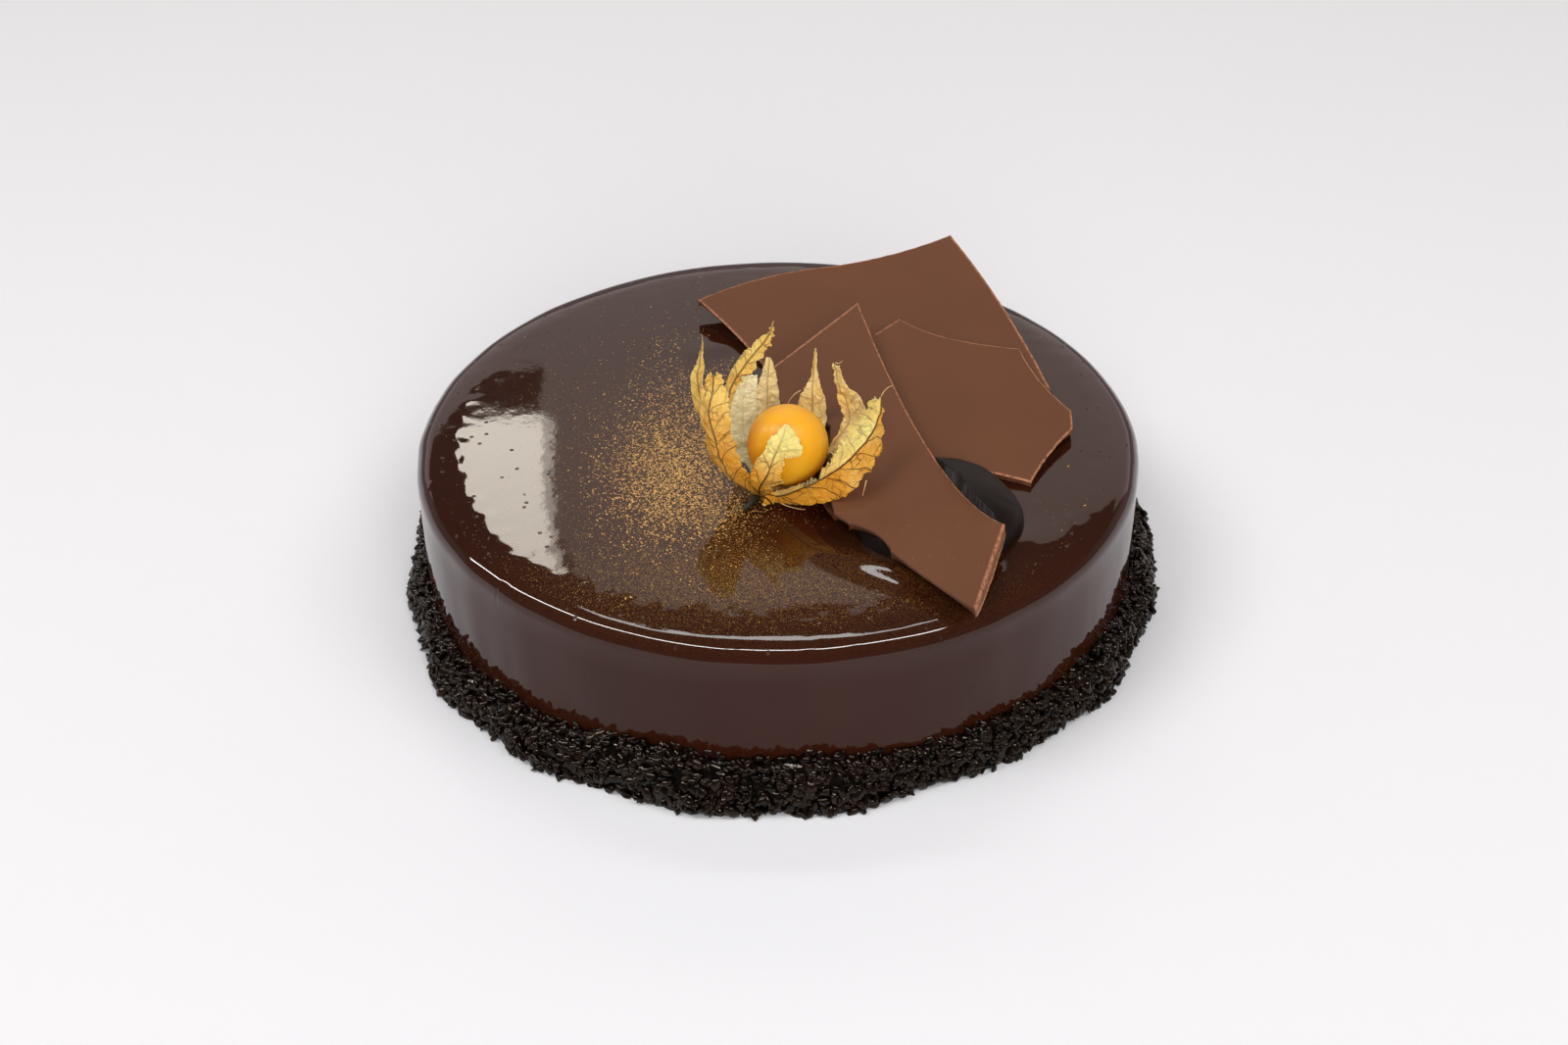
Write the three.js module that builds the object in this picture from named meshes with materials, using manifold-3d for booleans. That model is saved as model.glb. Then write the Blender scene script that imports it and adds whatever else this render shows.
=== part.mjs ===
// A round chocolate mousse cake: a glazed drum with a collar of chocolate flakes round its foot, three thin
// curved shards leaning on piped ganache, and a physalis in its opened husk. Millimetres, +Z up.
// The origin is the centre of the cake's flat underside, and -Y is the side seen from the front.

import * as THREE from "three";
import { mergeVertices } from "three/addons/utils/BufferGeometryUtils.js";
import Module from "manifold-3d";

// Cake
const CAKE_RADIUS = 90;
const CAKE_HEIGHT = 42.5;
const CAKE_EDGE_RADIUS = 5;
const CAKE_EDGE_STEPS = 4;
const CAKE_SIDES = 108;
const GAP = 0.3;

// Flake collar: its foot and its top wander round the cake as a mean plus a few waves,
// each { waves round the cake, size, turn in degrees }
const COLLAR_REACH = 6.2;
const COLLAR_REACH_WAVES = [
  { waves: 3, size: 1.3, turn: 18 },
  { waves: 7, size: 0.7, turn: 82 },
  { waves: 16, size: 0.9, turn: 156 },
];
const COLLAR_TOP = 10.2;
const COLLAR_TOP_WAVES = [
  { waves: 2, size: 1.4, turn: 185 },
  { waves: 5, size: 0.9, turn: 210 },
  { waves: 14, size: 0.6, turn: 267 },
];
const COLLAR_SIDES = 120;
const COLLAR_SLOPE_STEPS = 4;
const COLLAR_BUMP = 0.9;
const FLAKE_COUNT = 150;
const FLAKE_SINK = 0.8;
const FLAKE_LOWEST_SHARE = 0.12;
const FLAKE_HIGHEST_SHARE = 0.92;
const FLAKE_LENGTH = 6;
const FLAKE_WIDTH = 3.6;
const FLAKE_THICKNESS = 2.2;
const FLAKE_SIZE_SPREAD = 0.35;
const FLAKE_SEED = 20;

// Shards: thin plates whose plane crosses the cake's axis at a height above the glaze, tilted about X and Y.
// Each corner is followed by an edge whose bow is positive where the edge is hollow. Its skew says
// where along the edge the bow pulls.
const SHARD_THICKNESS = 2.2;
const SHARD_BEVEL = 0.3;
const SHARD_EDGE_STEPS = 7;
const SHARDS = {
  chocolate_shard_back: {
    axisHeight: -6.3, tilt: [10.8, -3.4],
    corners: [
      { at: [-21, 56], bow: -2.2 },
      { at: [15, 67], bow: 1.6 },
      { at: [48.3, 77.6], bow: -1.5 },
      { at: [70, 12], bow: 2.5 },
      { at: [-9, 37], bow: 0.6 },
    ],
  },
  chocolate_shard_right: {
    axisHeight: 4.1, tilt: [5.1, 1.1],
    corners: [
      { at: [32.2, 38.1], bow: 3, skew: 0.35 },
      { at: [62.7, 24.9], bow: 1.5 },
      { at: [73.2, -1.8], bow: 0 },
      { at: [72.9, -8.8], bow: 0.7 },
      { at: [60.5, -30], bow: 1.2 },
      { at: [36, -24], bow: 2 },
      { at: [17, 22], bow: 0 },
    ],
  },
  chocolate_shard_front: {
    axisHeight: 7.97, tilt: [5.14, -1.7],
    corners: [
      { at: [21.3, 37.1], bow: 5.8, skew: 0.86 },
      { at: [51.8, -53.3], bow: 0 },
      { at: [42.8, -82.1], bow: -0.4 },
      { at: [24.8, -61.1], bow: 1.9 },
      { at: [16.8, -52.2], bow: 0 },
      { at: [12.8, -47.8], bow: 1 },
      { at: [12.8, -14.5], bow: 0.6 },
      { at: [-8.5, 1], bow: 0 },
    ],
  },
};

// Piped ganache: creased domes, flattened where a shard lies on them. The front one shows on both sides of
// its shard and swells through the notch in the shard's edge.
const DOLLOPS = {
  ganache_front: { at: [37.2, -41.6], radius: 20, height: 10.2, creases: 5 },
  ganache_back: { at: [26, 51], radius: 12, height: 12, creases: 4 },
};
const DOLLOP_CREASE = 0.025;
const DOLLOP_SIDES = 32;
const DOLLOP_RINGS = 7;
const DOLLOP_FULLNESS = 0.72;

// Physalis
const BERRY_RADIUS = 9.6;
const BERRY_AT = [2.4, -28, 12.5];
const BERRY_SIDES = 20;
const BERRY_RINGS = 12;
const HUSK_BASE_AT = [-4.5, -33.5, 1.7];
const HUSK_BASE_RADIUS = 1.4;
const HUSK_BASE_SIDES = 12;
const HUSK_BASE_RINGS = 8;
const HUSK_STEM_TO = [-9, -39, 1.6];
const HUSK_STEM_RADIUS = 0.8;
const HUSK_STEM_SIDES = 8;
const PETAL_THICKNESS = 0.5;
const PETAL_LEAST_HALF = 0.3;
const PETAL_RIB_ROUND = 0.7;
const PETAL_STEPS_ALONG = 8;
const PETAL_STEPS_ACROSS = 4;
// Each petal's midrib runs from the husk's base through points given as [turn in degrees about the berry's
// upright axis, reach from that axis, rise above the glaze]. Clock and counter are the half widths on its two
// sides at even steps from base to tip. Facing is the turn and lift of its outer side, and fold bends the two
// halves back.
const PETALS = [
  {
    path: [
      [-157.5, 13, 7], [-176.5, 16.5, 14.5], [174.5, 20, 22.5], [169.5, 21.5, 28], [166.5, 21, 32],
      [163, 20.5, 37],
    ],
    clock: [1, 2.6, 2.4, 3, 2.1, 1, 0.1],
    counter: [1, 1.1, 1.2, 1.4, 2, 1.2, 0.3],
    facing: [[225, 0], [235, 10]],
    fold: [12, 12],
  },
  {
    path: [
      [-147.5, 15, 8], [-150, 18, 14], [-153.5, 19, 20.5], [-161.5, 19, 25.5], [-170, 17.5, 30],
      [-178.5, 17, 34],
    ],
    clock: [1, 6.3, 5.3, 4, 4.2, 3.5, 2.1],
    counter: [1, 4.6, 5.2, 5.2, 5.7, 4, 1.6],
    facing: [[225, -25], [245, 20]],
    fold: [18, 18],
  },
  {
    path: [
      [162.5, 13.5, 5.5], [147.5, 17, 13.5], [140.5, 17.5, 21], [132, 15, 27.5], [122, 13, 32],
      [111.5, 12, 35.5], [105.5, 11.5, 39.5],
    ],
    clock: [1, 1, 1.4, 1.8, 1.8, 1.5, 1, 0.1],
    counter: [1, 0.9, 1.2, 1.2, 1.9, 1.8, 1.4, 0.3],
    facing: [[250, 0], [265, 40]],
    fold: [12, 12],
  },
  {
    path: [[150, 9, 1.5], [133.5, 14, 3], [129.5, 17, 11], [128, 17.5, 17.5], [124, 17, 23.5]],
    clock: [1, 1.5, 1.3, 1.5, 3.2, 3],
    counter: [1, 1.5, 3.6, 3.5, 3.7, 3],
    facing: [[130, -40], [115, -10]],
    fold: [10, 10],
  },
  {
    path: [[110, 8, 1.5], [106, 13.5, 2], [105, 17, 8.5], [105, 18.5, 16.5], [103, 18.5, 26]],
    clock: [1, 1.5, 2.1, 3.4, 3.4, 1.3],
    counter: [1, 1.5, 3.4, 4, 2.9, 1.7],
    facing: [[95, -45], [90, -5]],
    fold: [10, 10],
  },
  {
    path: [[70, 8, 1.5], [67, 14, 2], [67.5, 16, 8], [70, 18, 14.5], [71, 19.5, 19.5], [70, 20, 27.5]],
    clock: [1, 1.5, 3.1, 3.6, 3.4, 1.6, 0.4],
    counter: [1, 1.5, 2.9, 3.8, 3.6, 1, 0.2],
    facing: [[85, -45], [80, 0]],
    fold: [10, 10],
  },
  {
    path: [[20, 8.5, 1.5], [24, 11, 8], [31, 17.5, 13], [40, 18.5, 17], [47, 18, 21.5], [49, 17.5, 27]],
    clock: [1, 1.5, 4.8, 5.2, 4.7, 2.1, 1.6],
    counter: [1, 1.5, 3.5, 3.5, 2.6, 1.6, 1.1],
    facing: [[30, -45], [60, 0]],
    fold: [10, 10],
  },
  {
    path: [
      [-96, 9.5, 4.5], [-62, 15.3, 11.4], [-41.5, 18.6, 16], [-22, 20, 19], [-4, 21.5, 21.5], [5, 22, 25],
    ],
    clock: [1, 2, 2, 6.4, 6, 4.7, 3.7],
    counter: [1, 2.6, 7, 6.1, 5.2, 1.8, 0.4],
    facing: [[232, 0], [258, 0], [290, 0]],
    fold: [70, -15],
  },
  {
    path: [[-124, 12, 7], [-113.5, 12.2, 11.5], [-107, 11.1, 16], [-100.5, 9, 19], [-92, 5.2, 21.5]],
    clock: [1, 2.5, 3.8, 3.2, 2.8, 0.6],
    counter: [1, 2.7, 3.9, 2.9, 5.4, 1],
    facing: [[262, -15], [265, 30]],
    fold: [8, 8],
  },
  {
    path: [[-118.5, 11, 4], [-112, 10, 2]],
    clock: [1, 1.5, 0.2],
    counter: [1, 1.5, 0.2],
    facing: [[265, 20], [265, 20]],
    fold: [5, 5],
  },
];

// Finishes
const GLAZE = { color: 0x25100c, roughness: 0.08, metalness: 0 };
const FLAKES = { color: 0x17110f, roughness: 0.35, metalness: 0 };
const SHARD = { color: 0x6f4d3a, roughness: 0.45, metalness: 0 };
const GANACHE = { color: 0x141010, roughness: 0.4, metalness: 0 };
const BERRY = { color: 0xf0a020, roughness: 0.35, metalness: 0 };
const HUSK = { color: 0xd9ab4a, roughness: 0.7, metalness: 0 };

const MERGE_DISTANCE = 1e-4;

const wasm = await Module();
wasm.setup();

// A closed solid from a geometry whose shared vertices are merged
function solidFrom(geometry) {
  const bare = new THREE.BufferGeometry();
  bare.setAttribute("position", geometry.getAttribute("position"));
  bare.setIndex(geometry.getIndex());
  const merged = mergeVertices(bare, MERGE_DISTANCE);
  const vertProperties = new Float32Array(merged.getAttribute("position").array);
  const triVerts = new Uint32Array(merged.getIndex().array);
  return new wasm.Manifold(new wasm.Mesh({ numProp: 3, vertProperties, triVerts }));
}

function geometryFrom(solid) {
  const mesh = solid.getMesh();
  const geometry = new THREE.BufferGeometry();
  geometry.setAttribute("position", new THREE.BufferAttribute(mesh.vertProperties, mesh.numProp));
  geometry.setIndex(new THREE.BufferAttribute(mesh.triVerts, 1));
  geometry.computeVertexNormals();
  return geometry;
}

// A geometry from a list of points and the triangles between them
function meshGeometry(points, triangles) {
  const geometry = new THREE.BufferGeometry();
  geometry.setFromPoints(points);
  geometry.setIndex(triangles);
  return geometry;
}

function piece(name, geometry, finish) {
  const mesh = new THREE.Mesh(geometry, new THREE.MeshStandardMaterial(finish));
  mesh.name = name;
  return mesh;
}

// Seeded random numbers from 0 to 1
function randomSource(seed) {
  let state = seed;
  return () => {
    state = (Math.imul(state, 1664525) + 1013904223) >>> 0;
    return state / 2 ** 32;
  };
}

// The cake: a profile turned about the upright axis, with a rounded top edge
function cakeGeometry() {
  const profile = [new THREE.Vector2(0, 0), new THREE.Vector2(CAKE_RADIUS, 0)];
  const flat = CAKE_RADIUS - CAKE_EDGE_RADIUS;
  for (let step = 0; step <= CAKE_EDGE_STEPS; step += 1) {
    const angle = (step / CAKE_EDGE_STEPS) * (Math.PI / 2);
    profile.push(new THREE.Vector2(
      flat + CAKE_EDGE_RADIUS * Math.cos(angle),
      CAKE_HEIGHT - CAKE_EDGE_RADIUS + CAKE_EDGE_RADIUS * Math.sin(angle),
    ));
  }
  profile.push(new THREE.Vector2(0, CAKE_HEIGHT));
  return new THREE.LatheGeometry(profile, CAKE_SIDES).rotateX(Math.PI / 2);
}

// A mean plus waves round the cake
function wandering(mean, waves, angle) {
  const swell = (wave) => wave.size * Math.cos(wave.waves * angle - THREE.MathUtils.degToRad(wave.turn));
  return waves.reduce((sum, wave) => sum + swell(wave), mean);
}

// A point on the collar's slope: share 0 is the foot's outer edge and share 1 the top against the cake
function collarSlope(angle, share) {
  const swing = share * (Math.PI / 2);
  const radius = CAKE_RADIUS + GAP + wandering(COLLAR_REACH, COLLAR_REACH_WAVES, angle) * Math.cos(swing);
  const height = wandering(COLLAR_TOP, COLLAR_TOP_WAVES, angle) * Math.sin(swing);
  return new THREE.Vector3(radius * Math.cos(angle), radius * Math.sin(angle), height);
}

// The collar's core: a ring whose section is the bumpy slope, the upright back and the flat foot
function collarCore(random) {
  const points = [];
  const around = COLLAR_SLOPE_STEPS + 2;
  const inner = CAKE_RADIUS + GAP;
  for (let side = 0; side < COLLAR_SIDES; side += 1) {
    const angle = (side / COLLAR_SIDES) * Math.PI * 2;
    for (let step = 0; step <= COLLAR_SLOPE_STEPS; step += 1) {
      const point = collarSlope(angle, step / COLLAR_SLOPE_STEPS);
      const bump = COLLAR_BUMP * (2 * random() - 1);
      const spread = step < COLLAR_SLOPE_STEPS ? 1 + bump / CAKE_RADIUS : 1;
      const lift = step > 0 ? COLLAR_BUMP * (2 * random() - 1) : 0;
      points.push(point.multiply(new THREE.Vector3(spread, spread, 1)).add(new THREE.Vector3(0, 0, lift)));
    }
    points.push(new THREE.Vector3(inner * Math.cos(angle), inner * Math.sin(angle), 0));
  }
  const triangles = [];
  for (let side = 0; side < COLLAR_SIDES; side += 1) {
    const next = (side + 1) % COLLAR_SIDES;
    for (let step = 0; step < around; step += 1) {
      const a = side * around + step;
      const b = next * around + step;
      const c = next * around + ((step + 1) % around);
      const d = side * around + ((step + 1) % around);
      triangles.push(a, b, c, a, c, d);
    }
  }
  return solidFrom(meshGeometry(points, triangles));
}

// The collar: flat flakes in all directions, half sunk in the core and spread evenly over its slope
function collarGeometry() {
  const random = randomSource(FLAKE_SEED);
  const goldenTurn = Math.PI * (3 - Math.sqrt(5));
  let collar = collarCore(random);
  for (let index = 0; index < FLAKE_COUNT; index += 1) {
    const angle = index * goldenTurn;
    const share = THREE.MathUtils.lerp(FLAKE_LOWEST_SHARE, FLAKE_HIGHEST_SHARE, (index * Math.SQRT2) % 1);
    const size = 1 + FLAKE_SIZE_SPREAD * (2 * random() - 1);
    const flake = new THREE.OctahedronGeometry(size / 2);
    flake.scale(FLAKE_LENGTH, FLAKE_WIDTH, FLAKE_THICKNESS);
    flake.rotateX(random() * Math.PI).rotateY(random() * Math.PI).rotateZ(random() * Math.PI);
    const heart = collarSlope(angle, 1).setZ(0);
    const place = collarSlope(angle, share);
    place.addScaledVector(heart.sub(place).normalize(), FLAKE_SINK);
    flake.translate(place.x, place.y, place.z);
    collar = collar.add(solidFrom(flake));
  }
  const inner = CAKE_RADIUS + GAP;
  const wide = 4 * CAKE_RADIUS;
  const clearOfCake = new THREE.CylinderGeometry(inner, inner, CAKE_HEIGHT, CAKE_SIDES);
  const underFloor = new THREE.BoxGeometry(wide, wide, CAKE_HEIGHT);
  clearOfCake.rotateX(Math.PI / 2);
  underFloor.translate(0, 0, -CAKE_HEIGHT / 2);
  return geometryFrom(collar.subtract(solidFrom(clearOfCake)).subtract(solidFrom(underFloor)));
}

// A shard's outline: each edge is a curve pulled square to its chord
function shardOutline(corners) {
  const shape = new THREE.Shape();
  shape.moveTo(...corners[0].at);
  corners.forEach(({ at, bow, skew = 0.5 }, index) => {
    const start = new THREE.Vector2(...at);
    const end = new THREE.Vector2(...corners[(index + 1) % corners.length].at);
    const chord = end.clone().sub(start);
    const inward = new THREE.Vector2(chord.y, -chord.x).normalize();
    const pull = start.addScaledVector(chord, skew).addScaledVector(inward, 2 * bow);
    if (bow === 0) {
      shape.lineTo(end.x, end.y);
    } else {
      shape.quadraticCurveTo(pull.x, pull.y, end.x, end.y);
    }
  });
  return shape;
}

function shardMesh(name) {
  const { axisHeight, tilt, corners } = SHARDS[name];
  const geometry = new THREE.ExtrudeGeometry(shardOutline(corners), {
    depth: SHARD_THICKNESS - 2 * SHARD_BEVEL,
    curveSegments: SHARD_EDGE_STEPS,
    bevelThickness: SHARD_BEVEL,
    bevelSize: SHARD_BEVEL,
    bevelOffset: -SHARD_BEVEL,
    bevelSegments: 1,
  });
  geometry.translate(0, 0, SHARD_BEVEL);
  const mesh = piece(name, geometry, SHARD);
  mesh.position.z = CAKE_HEIGHT + axisHeight;
  mesh.rotation.set(THREE.MathUtils.degToRad(tilt[0]), THREE.MathUtils.degToRad(tilt[1]), 0);
  mesh.updateMatrixWorld();
  return mesh;
}

// The space that a shard needs clear, its own outline and a gap wider: upwards from its underside where
// ganache lies below it, or downwards from its top where a petal leans over it
function shardClearance(shard, from) {
  const { corners } = SHARDS[shard.name];
  const space = new THREE.ExtrudeGeometry(shardOutline(corners), {
    depth: CAKE_HEIGHT,
    curveSegments: SHARD_EDGE_STEPS,
    bevelThickness: GAP,
    bevelSize: GAP,
    bevelSegments: 1,
  });
  return solidFrom(space.translate(0, 0, from).applyMatrix4(shard.matrixWorld));
}

// A full dome, creased round its own axis
function domeSolid({ at, radius, height, creases }) {
  const profile = [new THREE.Vector2(0, 0)];
  for (let ring = 0; ring <= DOLLOP_RINGS; ring += 1) {
    const swing = (ring / DOLLOP_RINGS) * (Math.PI / 2);
    profile.push(new THREE.Vector2(
      radius * Math.cos(swing) ** DOLLOP_FULLNESS,
      height * Math.sin(swing),
    ));
  }
  const dome = new THREE.LatheGeometry(profile, DOLLOP_SIDES).rotateX(Math.PI / 2);
  const position = dome.getAttribute("position");
  for (let index = 0; index < position.count; index += 1) {
    const x = position.getX(index);
    const y = position.getY(index);
    const swell = 1 + DOLLOP_CREASE * Math.cos(creases * Math.atan2(y, x));
    position.setXY(index, x * swell, y * swell);
  }
  return solidFrom(dome.translate(at[0], at[1], CAKE_HEIGHT + GAP));
}

// A dollop: a dome with the shards' spaces cut out of it
function dollopGeometry(dollop, shards) {
  const dome = domeSolid(dollop);
  return geometryFrom(shards.reduce((solid, shard) => solid.subtract(shardClearance(shard, 0)), dome));
}

function aroundBerry([turn, reach, rise]) {
  const angle = THREE.MathUtils.degToRad(turn);
  return new THREE.Vector3(
    BERRY_AT[0] + reach * Math.cos(angle),
    BERRY_AT[1] + reach * Math.sin(angle),
    CAKE_HEIGHT + rise,
  );
}

function aboveGlaze([x, y, rise]) {
  return new THREE.Vector3(x, y, CAKE_HEIGHT + rise);
}

// A direction from its compass turn and its lift above level, in degrees
function compass([turn, lift]) {
  const level = THREE.MathUtils.degToRad(turn);
  const rise = THREE.MathUtils.degToRad(lift);
  return new THREE.Vector3(
    Math.cos(rise) * Math.cos(level),
    Math.cos(rise) * Math.sin(level),
    Math.sin(rise),
  );
}

function smoothCurve(points) {
  return new THREE.CatmullRomCurve3(points, false, "catmullrom", 0.5);
}

// A petal: a thin leaf along a curved midrib, its two halves bent back from it, with both faces split alike
function petalSolid({ path, clock, counter, facing, fold }) {
  const midrib = smoothCurve([aboveGlaze(HUSK_BASE_AT), ...path.map(aroundBerry)]);
  const halves = smoothCurve(clock.map((half, step) => new THREE.Vector3(half, counter[step], 0)));
  const outside = smoothCurve(facing.map(compass));
  const columns = PETAL_STEPS_ACROSS + 1;
  const faces = [1, -1].map((face) => {
    const points = [];
    const skin = (face * PETAL_THICKNESS) / 2;
    for (let row = 0; row <= PETAL_STEPS_ALONG; row += 1) {
      const along = row / PETAL_STEPS_ALONG;
      const forward = midrib.getTangent(along);
      const outward = outside.getPoint(along);
      outward.addScaledVector(forward, -outward.dot(forward)).normalize();
      const sideways = forward.clone().cross(outward);
      const half = halves.getPoint(along);
      for (let column = 0; column < columns; column += 1) {
        const across = (2 * column) / PETAL_STEPS_ACROSS - 1;
        const side = across < 0 ? 0 : 1;
        const reach = Math.max(half.getComponent(side), PETAL_LEAST_HALF) * Math.abs(across);
        const bend = (THREE.MathUtils.degToRad(fold[side]) * reach) / (reach + PETAL_RIB_ROUND);
        const aside = Math.sign(across) * (reach * Math.cos(bend) + skin * Math.sin(bend));
        const lift = skin * Math.cos(bend) - reach * Math.sin(bend);
        points.push(midrib.getPoint(along).addScaledVector(sideways, aside).addScaledVector(outward, lift));
      }
    }
    return points;
  });
  const count = faces[0].length;
  const triangles = [];
  for (let row = 0; row < PETAL_STEPS_ALONG; row += 1) {
    for (let column = 0; column < PETAL_STEPS_ACROSS; column += 1) {
      const a = row * columns + column;
      const b = a + 1;
      const c = a + columns;
      const d = c + 1;
      triangles.push(a, b, c, b, d, c);
      triangles.push(count + a, count + c, count + b, count + b, count + c, count + d);
    }
  }
  const rim = [];
  for (let column = 0; column < PETAL_STEPS_ACROSS; column += 1) {
    rim.push(column);
  }
  for (let row = 0; row < PETAL_STEPS_ALONG; row += 1) {
    rim.push(row * columns + PETAL_STEPS_ACROSS);
  }
  for (let column = PETAL_STEPS_ACROSS; column > 0; column -= 1) {
    rim.push(PETAL_STEPS_ALONG * columns + column);
  }
  for (let row = PETAL_STEPS_ALONG; row > 0; row -= 1) {
    rim.push(row * columns);
  }
  rim.forEach((start, index) => {
    const end = rim[(index + 1) % rim.length];
    triangles.push(start, count + start, end, end, count + start, count + end);
  });
  return solidFrom(meshGeometry(faces.flat(), triangles));
}

// The husk: petals fused to a small knob with the cut stem, clear of the berry, the glaze and the shards
function huskGeometry(shards) {
  const base = aboveGlaze(HUSK_BASE_AT);
  const stem = aboveGlaze(HUSK_STEM_TO).sub(base);
  const knob = new THREE.SphereGeometry(HUSK_BASE_RADIUS, HUSK_BASE_SIDES, HUSK_BASE_RINGS);
  const stub = new THREE.CylinderGeometry(HUSK_STEM_RADIUS, HUSK_STEM_RADIUS, stem.length(), HUSK_STEM_SIDES);
  knob.translate(base.x, base.y, base.z);
  const upright = new THREE.Vector3(0, 1, 0);
  const turn = new THREE.Quaternion().setFromUnitVectors(upright, stem.clone().normalize());
  const middle = base.clone().addScaledVector(stem, 0.5);
  stub.applyQuaternion(turn).translate(middle.x, middle.y, middle.z);
  const petals = PETALS.map(petalSolid);
  const husk = petals.reduce((sum, petal) => sum.add(petal), solidFrom(knob).add(solidFrom(stub)));
  const grown = new THREE.SphereGeometry(BERRY_RADIUS + GAP, BERRY_SIDES, BERRY_RINGS);
  grown.translate(BERRY_AT[0], BERRY_AT[1], CAKE_HEIGHT + BERRY_AT[2]);
  const glaze = new THREE.BoxGeometry(2 * CAKE_RADIUS, 2 * CAKE_RADIUS, CAKE_HEIGHT);
  glaze.translate(0, 0, CAKE_HEIGHT / 2 + GAP);
  const free = husk.subtract(solidFrom(grown)).subtract(solidFrom(glaze));
  const downwards = SHARD_THICKNESS - CAKE_HEIGHT;
  const spaces = shards.map((shard) => shardClearance(shard, downwards));
  return geometryFrom(spaces.reduce((solid, space) => solid.subtract(space), free));
}

const cake = new THREE.Group();
cake.add(piece("glazed_cake", cakeGeometry(), GLAZE));
cake.add(piece("flake_collar", collarGeometry(), FLAKES));

const shards = Object.keys(SHARDS).map(shardMesh);
cake.add(...shards);
Object.entries(DOLLOPS).forEach(([name, dollop]) => {
  cake.add(piece(name, dollopGeometry(dollop, shards), GANACHE));
});

const ball = new THREE.SphereGeometry(BERRY_RADIUS, BERRY_SIDES, BERRY_RINGS);
const berry = piece("physalis_berry", ball, BERRY);
berry.position.copy(aboveGlaze(BERRY_AT));
cake.add(berry);
cake.add(piece("physalis_husk", huskGeometry(shards), HUSK));

export default cake;
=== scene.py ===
"""The looks of a round chocolate mousse cake under a dark mirror glaze.

Shapes are worked out in millimetres, in the frame's own axes, and become metres when a mesh is made.
The stage is laid out in metres.
"""

import math

import bpy
import numpy as np
from mathutils import Matrix, Vector


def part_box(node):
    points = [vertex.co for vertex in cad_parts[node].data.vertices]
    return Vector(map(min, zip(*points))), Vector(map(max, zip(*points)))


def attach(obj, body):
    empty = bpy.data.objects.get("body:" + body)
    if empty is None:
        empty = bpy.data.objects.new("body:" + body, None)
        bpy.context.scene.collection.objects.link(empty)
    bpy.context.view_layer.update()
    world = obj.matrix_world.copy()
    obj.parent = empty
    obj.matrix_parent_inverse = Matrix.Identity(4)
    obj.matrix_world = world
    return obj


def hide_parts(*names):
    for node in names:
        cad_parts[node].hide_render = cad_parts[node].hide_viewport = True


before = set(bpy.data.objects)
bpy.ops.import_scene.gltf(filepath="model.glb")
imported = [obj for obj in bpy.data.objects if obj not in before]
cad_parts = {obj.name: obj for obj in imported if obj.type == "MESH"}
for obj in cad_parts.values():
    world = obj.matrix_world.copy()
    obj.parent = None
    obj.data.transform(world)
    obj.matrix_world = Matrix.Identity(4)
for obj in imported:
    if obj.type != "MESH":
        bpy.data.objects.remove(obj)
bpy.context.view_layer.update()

MM = 0.001
BODY = "root"
# Added where a length could be nothing
TINY = 1e-6
TINIEST = 1e-9
# Pieces made in a loop take seeds this far apart
SEED_STEP = 10
# Large numbers that scramble a place on a lattice and a seed into a random value
PLACE_KEYS = (73856093, 19349663, 83492791)
SEED_KEY = 2654435761
STIR_KEYS = [(13, 1274126177), (15, 2246822519)]
KEY_LIMIT = 0x7FFFFFFF


def node_box(node):
    """Lowest and highest corner of a solid, in millimetres."""
    low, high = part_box(node)
    return np.array(low) / MM, np.array(high) / MM


# Cake, from the frame
CAKE_LOW, CAKE_HIGH = node_box("glazed_cake")
CAKE_RADIUS = (CAKE_HIGH[0] - CAKE_LOW[0]) / 2
CAKE_HEIGHT = CAKE_HIGH[2]
CAKE_EDGE_RADIUS = 5
GLAZE_COLUMNS = 420
GLAZE_UNDERSIDE_ROWS = 5
GLAZE_UNDERSIDE_FROM = 0.2
GLAZE_SIDE_ROWS = 46
GLAZE_EDGE_ROWS = 14
GLAZE_SHOULDER_ROWS = 16
GLAZE_TOP_ROWS = 80
# The rows of the top crowd towards the shoulder by this power
GLAZE_TOP_CROWDING = 1.2
# The top falls as a high power of the radius up to a shoulder, whose slope grows, in degrees, to the rim
SHOULDER_FROM = 79.5
SHOULDER_SLOPE = (1.5, 10)
SHOULDER_POWER = 6
RIM_FROM = CAKE_RADIUS - CAKE_EDGE_RADIUS * (1 - math.sin(math.radians(SHOULDER_SLOPE[1])))
# Relief of the glaze, each its height, the size of its noise and the noise's seed
DRAG_MARKS = (0.22, 9, 3)
FINE_DRAG = (0.1, 3.6, 4)
SAGS = (0.45, 17, 5)
RIM_WAVE = (0.16, 26, 6)
RIPPLES = [(0.05, 3.4, 7), (0.014, 1.5, 8)]
# Drag marks and sags are drawn out down the side
DRAG_STRETCH = (1, 1, 0.35)
SAG_STRETCH = (1, 1, 0.6)
# Where relief is strongest and how far it spreads: fine drag and sags up the side, ripples by their radius
LOW_BAND = (11, 12)
RIPPLE_BAND = (80, 4.5)
# The rim's wave fades over these depths below the top and in from the side
RIM_WAVE_FADE = (9, 7)
# Places where the glaze swells against what stands in it: x, y, spread along, spread across, turn, height
GLAZE_SWELLS = [
    (25, -60, 15, 4.4, -26, 1.2),
    (29.5, -63.5, 3, 2.2, -45, 0.4),
    (56, -50, 6, 4, 60, 0.4),
    (-14, 39, 9, 4, 20, 0.3),
]
# A swell ends at this depth below the top and fades over so much above it
SWELL_DEPTH = 3
SWELL_FADE = 2
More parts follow.
